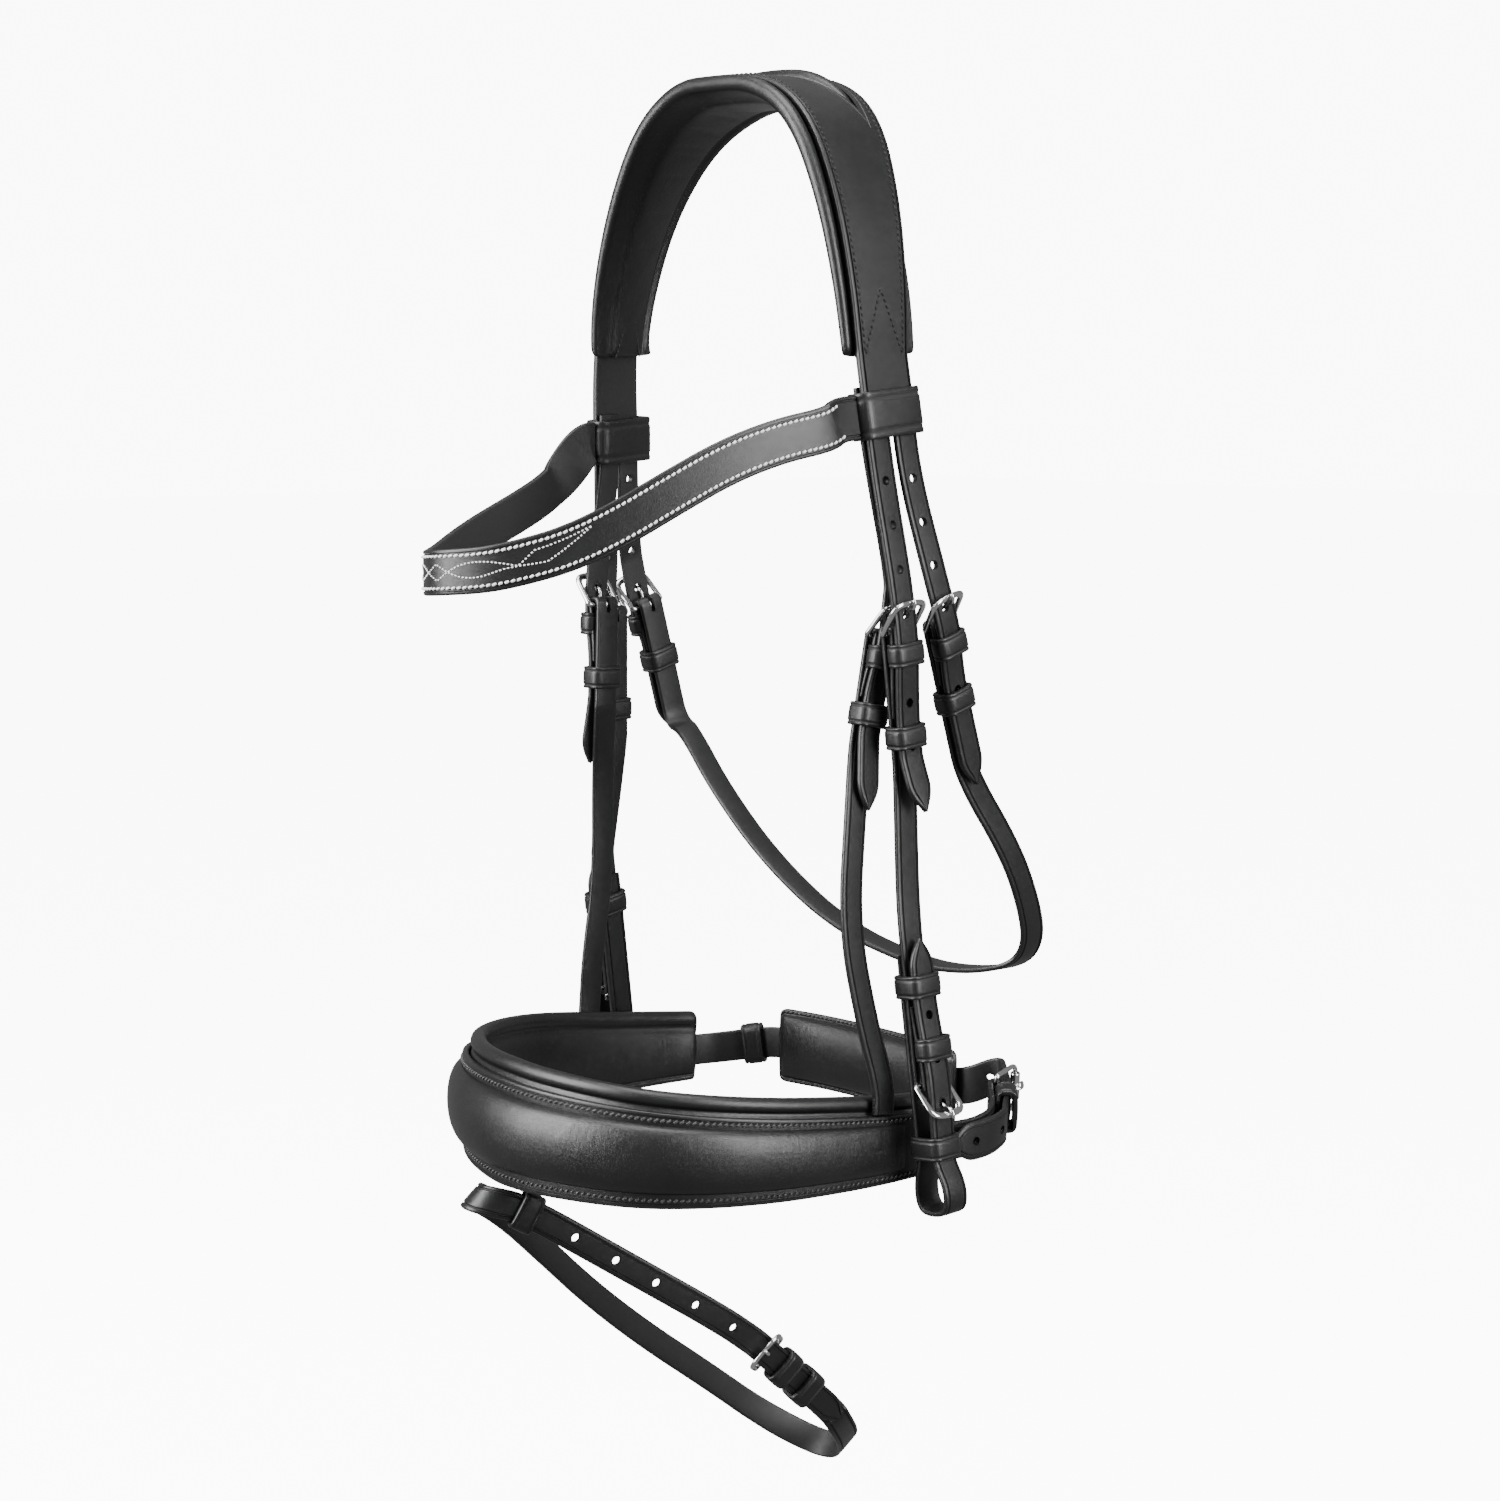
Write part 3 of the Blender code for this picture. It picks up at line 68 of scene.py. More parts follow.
# %% [markdown]
# ## The camera
# The photograph looks down a little on the near side of the bridle's front. A long lens keeps the
# far straps nearly as large as the near ones. The place and the turn were worked out from the
# buckles' places in the picture.

# %% Camera
mm = 0.001
TURN, TILT = radians(48.0), radians(6.5)
FOCAL_PX, FRAME_PX = 3333.0, 1501.0
looks = np.array([-sin(TURN) * cos(TILT), cos(TURN) * cos(TILT), -sin(TILT)])
right = np.array([cos(TURN), sin(TURN), 0.0])
above = np.cross(right, looks)
DISTANCE, ORIGIN_RIGHT, ORIGIN_UP = 1467.0 * mm, 12.0 / FOCAL_PX, 642.5 / FOCAL_PX
eye = -(DISTANCE * looks + DISTANCE * ORIGIN_RIGHT * right + DISTANCE * ORIGIN_UP * above)


def stand(name, data, *columns):
    """A camera or a lamp in the scene: the columns are its three axes and its place."""
    placed = bpy.data.objects.new(name, data)
    turned = np.eye(4)
    turned[:3] = np.stack(columns, -1)
    placed.matrix_world = Matrix(turned.tolist())
    bpy.context.scene.collection.objects.link(placed)
    return placed


camera = stand("camera", bpy.data.cameras.new("camera"), right, above, -looks, eye)
camera.data.lens = FOCAL_PX * camera.data.sensor_width / FRAME_PX
camera.data.clip_start = 10 * mm
bpy.context.scene.camera = camera
print("camera at", np.round(eye, 3), "with a lens of", round(camera.data.lens, 1), "mm")

# %% [markdown]
# ## Shader maths as Python
# A finish is easier to read as an expression than as a chain of boxes. `Wire` wraps a socket, so
# that `1 - mask * 0.3` adds the Math nodes. `Finish` starts a material and makes any other node.

# %% Wires and finishes
class Wire:
    """A number from a node. Sums and products of wires add Math nodes."""

    def __init__(self, finish, socket):
        self.finish, self.socket = finish, socket

    def maths(self, operation, first, second):
        return self.finish.node("Math", {0: first, 1: second}, operation=operation)

    def __add__(self, other):
        return self.maths("ADD", self, other)

    def __sub__(self, other):
        return self.maths("SUBTRACT", self, other)

    def __rsub__(self, other):
        return self.maths("SUBTRACT", other, self)

    def __mul__(self, other):
        return self.maths("MULTIPLY", self, other)

    __radd__, __rmul__ = __add__, __mul__

    def parts(self):
        """The three numbers of a vector wire."""
        split = self.finish.node("SeparateXYZ", {0: self}).socket.node
        return [Wire(self.finish, socket) for socket in split.outputs]

    def between(self, low, high):
        """0 below low, 1 above high and a smooth rise in between."""
        sockets = {"Value": self, "From Min": low, "From Max": high}
        return self.finish.node("MapRange", sockets, interpolation_type="SMOOTHSTEP")


class Finish:
    """One material: its shader and a way to add nodes."""

    def __init__(self, name, slot, **fixed):
        self.material = bpy.data.materials.new(name)
        self.material.use_nodes = True
        self.slot = slot
        self.shader = self.material.node_tree.nodes["Principled BSDF"]
        for key, value in fixed.items():
            self.shader.inputs[key.replace("_", " ").title()].default_value = value
        self.place = self.node("TexCoord", out="Object")

    def feed(self, socket, value):
        if isinstance(value, Wire):
            self.material.node_tree.links.new(value.socket, socket)
        else:
            socket.default_value = value

    def node(self, kind, sockets=(), out=0, **settings):
        made = self.material.node_tree.nodes.new("ShaderNode" + kind)
        for key, value in settings.items():
            setattr(made, key, value)
        for key, value in dict(sockets).items():
            self.feed(made.inputs[key], value)
        return Wire(self, made.outputs[out])

    def noise(self, scale, detail=2.0, rough=0.5, stretch=None):
        place = self.place
        if stretch:
            place = self.node("Mapping", {"Vector": place, "Scale": stretch})
        return self.node("TexNoise", {"Vector": place, "Scale": scale, "Detail": detail,
                                      "Roughness": rough})

    def cells(self, scale):
        """The distance to the nearest border between cells."""
        return self.node("TexVoronoi", {"Vector": self.place, "Scale": scale},
                         feature="DISTANCE_TO_EDGE")

    def mark(self, name):
        """A number that a piece keeps at its points, such as how near they are to a cut edge."""
        return self.node("Attribute", out="Fac", attribute_name=name)

    def blend(self, share, one, other):
        sockets = {0: share, 6: (*one, 1.0) if isinstance(one, tuple) else one, 7: (*other, 1.0)}
        return self.node("Mix", sockets, out=2, data_type="RGBA")

    def paint(self, **looks):
        for key, value in looks.items():
            self.feed(self.shader.inputs[key.replace("_", " ").title()], value)

    def emboss(self, height, depth):
        self.feed(self.shader.inputs["Normal"],
                  self.node("Bump", {"Distance": depth, "Height": height}))

# %% [markdown]
# ## Bridle leather
# The straps are black vegetable-tanned leather: waxed, so satin rather than shiny, with pores far
# below a millimetre. The cut edges are dyed and burnished, so they are glossier, and the flesh side
# is dull. The pieces carry three marks for that: `trim` on cut edges, `flesh` on the inner side and
# `line` along creases. A slow noise changes the wax's depth, as handling does.
# `line` also paints shade: creases, pressed lines and sewn channels are darkened nearly to black.

# %% Strap leather, band leather and padding leather
FLESH_TONE, CREASE_SHADE_TONE, SCUFF_TONE = (0.013, 0.0125, 0.012), (0.001,) * 3, (0.035, 0.033, 0.031)
PRESSED_DEPTH = 9.0          # in pores' depths


def bridle_leather(name, slot, tone, gloss, pore, pore_depth, crinkle, pressed=None):
    """Black leather. Height is pore cells, plus fine noise, plus crinkles at a coarser scale. The
    line mark darkens the colour nearly to black as painted shade in creases and channels. pressed
    gives a further wire that is 1 along a pressed line, which is pressed in and given that painted
    shade too."""
    look = Finish(name, slot)
    look.shader.inputs["Specular IOR Level"].default_value = 0.5
    trim, flesh, line = look.mark("trim"), look.mark("flesh"), look.mark("line")
    line = line + pressed(look) if pressed else line
    wax = look.noise(38.0, 3.0, 0.6)
    rub = look.noise(230.0, 4.0, 0.65)
    scuff = rub.between(0.56, 0.75) * trim
    face = look.blend(wax, tuple(c * 0.72 for c in tone), tuple(c * 1.3 for c in tone))
    face = look.blend(flesh * 0.6, face, FLESH_TONE)
    # Painted shade: creases, pressed lines and channels are darkened nearly to black.
    face = look.blend(line * 0.85, face, CREASE_SHADE_TONE)
    look.paint(base_color=look.blend(scuff * 0.35, face, SCUFF_TONE))
    look.paint(roughness=gloss + (wax - 0.5) * 0.16 + (rub - 0.5) * 0.10 + flesh * 0.22
               + line * 0.3 - trim * 0.05)
    cells = look.cells(pore).between(0.0, 0.16)
    folds = (look.noise(520.0, 3.0, stretch=(1.0, 1.0, 0.3))
             * look.noise(45.0, 2.0).between(0.42, 0.62))
    height = cells * 0.5 + look.noise(pore * 1.9, 2.0) * 0.5 + folds * crinkle
    height = height + flesh * look.noise(pore * 0.9, 5.0, 0.8)
    look.emboss(height - line * PRESSED_DEPTH if pressed else height, pore_depth)
    return look


LENS_L, LENS_W, LENS_BACK = 104.0 * mm, 15.0 * mm, 9.0 * mm


def round_the_opening(look):
    """1 on a line that runs a few millimetres outside the lens: across from its middle line, less
    a half width that falls with the square of the way along, is nearly nothing."""
    place = look.place.parts()
    along = place[0] * (2 / (LENS_L + 12 * mm))
    across = (place[1] - LENS_BACK).maths("ABSOLUTE", place[1] - LENS_BACK, 0.0)
    beyond = across - (1 - along * along) * (LENS_W / 2 + 3.4 * mm)
    return 1 - beyond.maths("ABSOLUTE", beyond, 0.0).between(0.25 * mm, 0.8 * mm)


FINE, COARSE = (1900.0, 0.035 * mm), (1700.0, 0.045 * mm)       # pores: scale and depth
STRAP_LEATHER = bridle_leather("waxed strap leather", "leather", (0.0065, 0.0065, 0.0068), 0.34,
                               *FINE, 0.1)
CROWN_LEATHER = bridle_leather("crown leather with a pressed line", "leather",
                               (0.0060, 0.0060, 0.0063), 0.36, *FINE, 0.1, round_the_opening)
BAND_LEATHER = bridle_leather("satin band leather", "leather", (0.0075, 0.0075, 0.0078), 0.33,
                              COARSE[0], FINE[1], 0.15)
PAD_LEATHER = bridle_leather("soft padding leather", "soft_leather", (0.0058, 0.0058, 0.0060), 0.33,
                             *COARSE, 4.0)
print("four leathers")

# %% [markdown]
# ## Stainless steel and thread
# Cast stainless buckles are polished by tumbling. That leaves fine scratches in every direction and
# a faint haze, which is what tells steel from chrome. The thread is bonded polyester: a tight twist
# with a slight sheen, white on the browband and black elsewhere. On the crown it is a dull copy of
# the black thread, nearly black, whose darkness is painted shade for its sunken stitch holes.

# %% Steel and thread
def polished_steel():
    """Bright metal. Roughness is a low base plus a slow haze. Height is two crossed scratches."""
    look = Finish("tumbled stainless steel", "steel", metallic=1.0)
    haze = look.noise(160.0, 3.0)
    lay = [look.noise(900.0, 3.0, stretch=way) for way in ((1.0, 9.0, 1.0), (9.0, 1.0, 2.0))]
    look.paint(base_color=look.blend(haze, (0.60, 0.60, 0.61), (0.74, 0.74, 0.75)))
    look.paint(roughness=0.12 + haze.between(0.4, 0.8) * 0.12)
    look.emboss(lay[0] + lay[1], 0.003 * mm)
    return look


def thread(name, tone, gloss, sheen=0.3, depth=0.62):
    """Twisted thread. The twist is a fine band pattern across the space that a stitch takes. It is
    bumped, and its colour is darker in the grooves as painted shade.
    """
    look = Finish(name, "leather", sheen_weight=sheen, sheen_roughness=0.4)
    ply = look.node("TexWave", {"Vector": look.place, "Scale": 620.0, "Distortion": 1.5})
    wear = look.noise(900.0, 3.0)
    # Painted shade: the colour falls to tone times depth in the twist's grooves, mixed with random
    # wear.
    shade = tuple(c * depth for c in tone)
    look.paint(base_color=look.blend(ply * 0.6 + wear * 0.4, shade, tone))
    look.paint(roughness=gloss + wear * 0.15)
    look.emboss(ply, 0.05 * mm)
    return look


STEEL = polished_steel()
WHITE_THREAD = thread("white thread", (0.93, 0.93, 0.92), 0.55, depth=0.82)
BLACK_THREAD = thread("black thread", (0.030, 0.030, 0.031), 0.30)
# A dull copy of the black thread, nearly black: its darkness is painted shade for sunken stitch
# holes.
SHADE_DARKENED_THREAD = thread("dull black thread darkened as painted shade", (0.003, 0.003, 0.003), 0.6, sheen=0.0)
print("steel and three threads")

# %% [markdown]
# ## Skins from grids
# Every piece starts as a grid of points: rows along the piece, columns round it. The grid's squares
# become faces, and the two ends are closed by a face each. The sum of the faces' wedge volumes
# tells whether the skin is inside out, so it is turned if need be.

# %% Grids into pieces
X_AXIS, Y_AXIS, Z_AXIS = np.eye(3)


def unit(v):
    return v / np.maximum(np.linalg.norm(v, axis=-1, keepdims=True), 1e-12)


def circle(sides):
    """Cosine and sine at equal steps of a whole turn."""
    angle = np.arange(sides) * 2 * pi / sides
    return np.cos(angle), np.sin(angle)


def grid_faces(rows, columns, ring=False):
    """Each face joins a point, the next one round, and the same two a row further along."""
    i = np.arange(rows if ring else rows - 1)[:, None]
    j = np.arange(columns)[None, :]
    k, n = (i + 1) % rows, (j + 1) % columns
    quads = [i * columns + j, i * columns + n, k * columns + n, k * columns + j]
    return np.stack(np.broadcast_arrays(*quads), -1).reshape(-1, 4)


def volume(points, faces):
    """A face's wedge to the origin is a third of its middle times its area vector."""
    a, b, c, d = (points[faces[:, k]] for k in range(4))
    return np.sum((a + b + c + d) / 4 * np.cross(c - a, d - b) / 2) / 3


def new_piece(name, points, faces, finish):
    mesh = bpy.data.meshes.new(name)
    mesh.from_pydata(points, [], faces)
    mesh.materials.append(finish.material)
    piece = bpy.data.objects.new(name, mesh)
    bpy.context.scene.collection.objects.link(piece)
    return piece


def skin(name, points, finish, ring=False, marks=None, sharp=40):
    """One piece from a grid of points with shape (rows, columns, 3)."""
    rows, columns = points.shape[:2]
    flat = points.reshape(-1, 3)
    faces = grid_faces(rows, columns, ring)
    turn = volume(flat, faces) < 0
    if turn:
        faces = faces[:, ::-1]
    faces = faces.tolist()
    if not ring:
        ends = [list(range(columns))[::-1], list(range((rows - 1) * columns, rows * columns))]
        faces += [end[::-1] if turn else end for end in ends]
    piece = new_piece(name, flat, faces, finish)
    for key, values in (marks or {}).items():
        spread = np.broadcast_to(values, (rows, columns)).astype(np.float32)
        mark = piece.data.attributes.new(key, "FLOAT", "POINT")
        mark.data.foreach_set("value", spread.ravel())
    piece.data.shade_smooth()
    piece.data.set_sharp_from_angle(angle=radians(sharp))
    return piece


def wear(piece, node, finish, stands_for=True):
    """Fix a piece on the body of a node, and let it stand for that node."""
    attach(piece, body_of[node])
    if stands_for:
        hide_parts(node)
    return piece

# %% [markdown]
# ## Routes
# A strap's middle line runs through a few corner points, each with the direction of the strap's
# width. Cutting the corners again and again gives a smooth curve and keeps straight runs straight.
# A strap needs many sections where it bends or twists and few where it is straight.

# %% The middle line of a strap
def cut_corners(points, rounds):
    """Corner cutting: each side keeps its points at a quarter and three quarters."""
    line = np.asarray(points, float)
    for _ in range(rounds):
        a, b = line[:-1], line[1:]
        cut = np.empty((2 * len(a) + 2, line.shape[1]))
        cut[0], cut[-1] = line[0], line[-1]
        cut[1:-1:2], cut[2:-1:2] = 0.75 * a + 0.25 * b, 0.25 * a + 0.75 * b
        line = cut
    return line


def walk(points):
    """How far each point of a line is from the first, along the line."""
    return np.concatenate([[0.0], np.cumsum(np.linalg.norm(np.diff(points, axis=0), axis=1))])


def read_off(d, way, values):
    """Rows of values at places d, between rows that are known at the places way."""
    return np.stack([np.interp(d, way, column) for column in values.T], -1)


class Route:
    """A smooth middle line, with a width direction at each point."""

    def __init__(self, corners):
        self.line = cut_corners([[*point, *side] for point, side in corners], 5)
        self.lengths = walk(self.line[:, :3])
        self.total = self.lengths[-1]

    def sample(self, d):
        return read_off(d, self.lengths, self.line)

    def frames(self, d, step=0.6 * mm):
        """Point, tangent, width direction and outward direction at each distance."""
        d = np.atleast_1d(np.asarray(d, float))
        here = self.sample(d)
        tangent = unit(self.sample(d + step)[:, :3] - self.sample(d - step)[:, :3])
        side = here[:, 3:]
        side = unit(side - tangent * np.sum(side * tangent, -1, keepdims=True))
        return here[:, :3], tangent, side, np.cross(tangent, side)

    def frame(self, d):
        return [a[0] for a in self.frames(d)]

    def stations(self, longest=3.0 * mm, turn=radians(8), extra=()):
        """Distances at equal steps of length plus turn plus twist."""
        dense = np.append(np.arange(0.0, self.total, 0.3 * mm), self.total)
        _, tangent, side, _ = self.frames(dense)
        angles = [np.arccos(np.clip(np.sum(v[1:] * v[:-1], -1), -1, 1)) for v in (tangent, side)]
        cost = np.cumsum(np.diff(dense) / longest + sum(angles) / turn)
        d = np.interp(np.linspace(0, cost[-1], ceil(cost[-1]) + 1), np.append(0.0, cost), dense)
        extra = np.asarray(extra, float)
        if len(extra):
            clear = np.abs(d[:, None] - extra[None, :]).min(1) > 0.25 * mm
            d = np.sort(np.concatenate([d[clear], extra]))
        return d

    def lay(self, d, across, out):
        """Points at distances d, offset across and outward. The offsets have a column a point."""
        point, _, side, outward = self.frames(d)
        return (point[:, None] + side[:, None] * across[..., None]
                + outward[:, None] * out[..., None])


STRAP_W, HANGER_W, CRANK_W, STRAP_T = 13.0 * mm, 12.0 * mm, 17.0 * mm, 2.4 * mm
TIP_LENGTH, SKIVED_T, GAP, LIE_GAP = 13.0 * mm, 1.4 * mm, 0.3 * mm, 0.7 * mm
print("strap", STRAP_W / mm, "mm wide and", STRAP_T / mm, "mm thick")

# %% [markdown]
# ## The profile of a strap
# A bridle strap isn't a plain bar. Its edges are bevelled and rubbed round, and a hot iron presses
# a fine crease a couple of millimetres in from each edge, which follows the edge round the pointed
# tip. The profile is a list of insets from the edge with a height each, so at the tip the insets
# shrink with the width and the two creases meet in a point.

# %% Creased profile
INSET = np.array([0.0, 0.14, 0.42, 0.85, 1.4, 1.75, 2.2, 2.6, 3.2]) * mm
RISE = np.array([-0.90, -0.42, -0.12, 0.0, 0.06, -0.50, -0.50, 0.06, 0.10]) * mm
LEAST = np.array([1.0, 0.93, 0.85, 0.76, 0.64, 0.56, 0.47, 0.39, 0.26])
UNDER = 4                    # how many of the insets the flesh side uses


def strap_profile(half_w, half_t, crease=1.0):
    """Across is the half width less an inset, but never less than a share of the half width.
    Outward is the half thickness plus a rise. The flesh side mirrors the first few insets."""
    w, t = half_w[:, None], half_t[:, None]
    across = np.maximum(w - INSET, w * LEAST)
    deep = np.clip(w / (4.0 * mm), 0.1, 1.0) * np.where(RISE > -0.3 * mm, crease, 1.0)
    rise = np.where(np.arange(len(RISE)) < 3, RISE, RISE * deep)
    top = np.maximum(t + rise, 0.12 * t)
    over = np.concatenate([across, -across[:, ::-1]], 1)
    high = np.concatenate([top, top[:, ::-1]], 1)
    a = np.concatenate([over, -across[:, :UNDER], across[:, UNDER - 1::-1]], 1)
    b = np.concatenate([high, -top[:, :UNDER], -top[:, UNDER - 1::-1]], 1)
    return a, b


# The crease columns: the leather darkens them as painted shade and makes them rougher.
LINE = np.zeros(2 * (len(INSET) + UNDER))
LINE[[5, 6, 11, 12]] = 1.0
edge = np.zeros(len(INSET))
edge[:3] = 1.0, 0.9, 0.45
TRIM = np.concatenate([edge, edge[::-1], edge[:UNDER], edge[UNDER - 1::-1]])
FLESH = np.concatenate([np.zeros(2 * len(INSET)), [0.3], np.ones(2 * UNDER - 2), [0.3]])


def tip_width(share):
    """A pointed arch: the width rises as s times (2 - s), rounded at the very tip."""
    return np.maximum(share * (2 - share), 0.06) * (1 - 0.02 * (1 - share))


def strap(node, corners, width=STRAP_W, thick=STRAP_T, tip=False, skive=(0.0, 0.0), widths=None,
          finish=STRAP_LEATHER, crease=1.0, flesh=1.0, cut=None, longest=3.0 * mm):
    """The strap that stands for a node, along a route. It may be pointed at its end or pared thin
    where it is folded. cut takes the route and gives the cutters of its holes and slots."""
    route = Route(corners)
    extra = route.total - TIP_LENGTH * np.linspace(0, 1, 15) ** 1.6 if tip else ()
    d = route.stations(longest, extra=extra)
    half_w, half_t = np.full(len(d), width / 2), np.full(len(d), thick / 2)
    if widths:
        half_w *= widths(d / route.total)
    if tip:
        half_w *= tip_width(np.clip((route.total - d) / TIP_LENGTH, 0, 1))
    for pare, way in zip(skive, (d, route.total - d)):
        if pare:
            thin = SKIVED_T / 2 + (thick - SKIVED_T) / 2 * np.clip(way / pare, 0, 1)
            half_t = np.minimum(half_t, thin)
    a, b = strap_profile(half_w, half_t, crease)
    piece = skin("dressed_" + node, route.lay(d, a, b), finish,
                 marks={"trim": TRIM, "flesh": FLESH * flesh, "line": LINE * crease})
    if cut:
        carve(piece, cut(route))
    wear(piece, node, finish)
    return route


print("profile of", len(TRIM), "points")

# %% [markdown]
# ## Holes and slots
# The billet holes are punched clean through, and the folded end has a long slot for the tongue. A
# boolean cut gives them real walls, so daylight shows through the empty ones.

# %% Cutting
HOLE_R, HOLE_PITCH = 2.0 * mm, 19.0 * mm


def carve(piece, cutters):
    """Take one or more closed tools away from a piece, and keep the piece's smooth shading."""
    for tool in cutters:
        step = piece.modifiers.new("cut", "BOOLEAN")
        step.operation, step.solver, step.object = "DIFFERENCE", "EXACT", tool
    bpy.context.view_layer.update()
    result = bpy.data.meshes.new_from_object(
        piece.evaluated_get(bpy.context.evaluated_depsgraph_get()))
    piece.modifiers.clear()
    piece.data = result
    while len(result.materials) > 1:
        result.materials.pop()
    result.polygons.foreach_set("material_index", np.zeros(len(result.polygons), np.int32))
    result.shade_smooth()
    result.set_sharp_from_angle(angle=radians(40))
    for tool in cutters:
        bpy.data.objects.remove(tool, do_unlink=True)


def drum(centre, axis, radius, reach, sides=20):
    """A round punch: a circle carried both ways along its axis."""
    side = unit(np.cross(axis, [0.3, 0.5, 0.8]))
    x, y = circle(sides)
    ring = radius * (x[:, None] * side + y[:, None] * np.cross(axis, side))
    return skin("punch", np.stack([centre - axis * reach + ring, centre + axis * reach + ring]),
                STRAP_LEATHER)


print("holes of", 2 * HOLE_R / mm, "mm every", HOLE_PITCH / mm, "mm")

# %% [markdown]
# ## Wire and tongues
# A buckle frame is one closed wire: a heel bar under the folded strap, two sides that lift off the
# leather and a bowed front bar, hammered slightly flat. The tongue is a pin whose eye rings the
# heel bar. Both are a round profile carried along a curve.

# %% Wire
def tube(name, points, radius, up, sides=16, ring=False, flat=1.0):
    """Steel wire that stands for its node: a circle at each point, in the plane across the wire.
    radius and flat may vary along it. flat stretches the circle to the side of up."""
    points = np.asarray(points, float)
    if ring:
        after, before = np.roll(points, -1, 0), np.roll(points, 1, 0)
    else:
        after, before = np.append(points[1:], points[-1:], 0), np.append(points[:1], points[:-1], 0)
    tangent = unit(after - before)
    side = unit(np.cross(tangent, up))
    other = np.cross(side, tangent)
    x, y = circle(sides)
    r = np.broadcast_to(radius, len(points))[:, None, None]
    f = np.broadcast_to(flat, len(points))[:, None, None]
    rings = (points[:, None] + side[:, None] * x[None, :, None] * r * f
             + other[:, None] * y[None, :, None] * r)
    return wear(skin(name, rings, STEEL, ring=ring, sharp=60), name, STEEL)


def rounded(points, radii, steps=8):
    """A closed outline whose corners become short curves that start a radius before the corner."""
    result = []
    for i, corner in enumerate(points):
        a = corner + unit(points[i - 1] - corner) * radii[i]
        b = corner + unit(points[(i + 1) % len(points)] - corner) * radii[i]
        u = np.linspace(0, 1, steps + 1)[:, None]
        result.append(a * (1 - u) ** 2 + corner * 2 * u * (1 - u) + b * u ** 2)
    return np.concatenate(result)


BAR_R, TONGUE_R = 1.2 * mm, 0.7 * mm
FRAME_RUN, FRAME_LIFT, FRAME_BOW = 12.0 * mm, 9.5 * mm, 1.2 * mm
FRAME_CORNER_R, HEEL_CORNER_R, FRAME_SIDE_GAP, SLOT_GAP = 4.0 * mm, 1.6 * mm, 1.1 * mm, 0.4 * mm
CHEEK_CHAPE = 36.0 * mm
KEEPER_L, KEEPER_T, KEEPER_GAP, KEEPER_CORNER_R = 10.0 * mm, 1.5 * mm, 0.4 * mm, 1.8 * mm
FOLD_R = BAR_R + GAP + STRAP_T / 2
TAIL_RISE = FOLD_R + STRAP_T + GAP
TAIL_LOW = -FOLD_R + STRAP_T + SKIVED_T + GAP + LIE_GAP
HOLE_AT = 0.67 * FRAME_RUN
SLOT_BACK = BAR_R + GAP + 2 * TONGUE_R + GAP + SLOT_GAP
KEEPER_TOP = TAIL_RISE + STRAP_T / 2 + KEEPER_GAP
print("wire of", 2 * BAR_R / mm, "mm, tongues of", 2 * TONGUE_R / mm, "mm")

# %% [markdown]
# ## A buckle's seat
# Every buckle on the bridle is the same idea: a strap end folded round the heel bar and sewn down,
# a tail that comes over the bar with the tongue through one of its holes, a fixed keeper and a
# running one. A seat is the place of one buckle with three directions: towards where the tail comes
# from, outward, and across. The same sums give all ten.

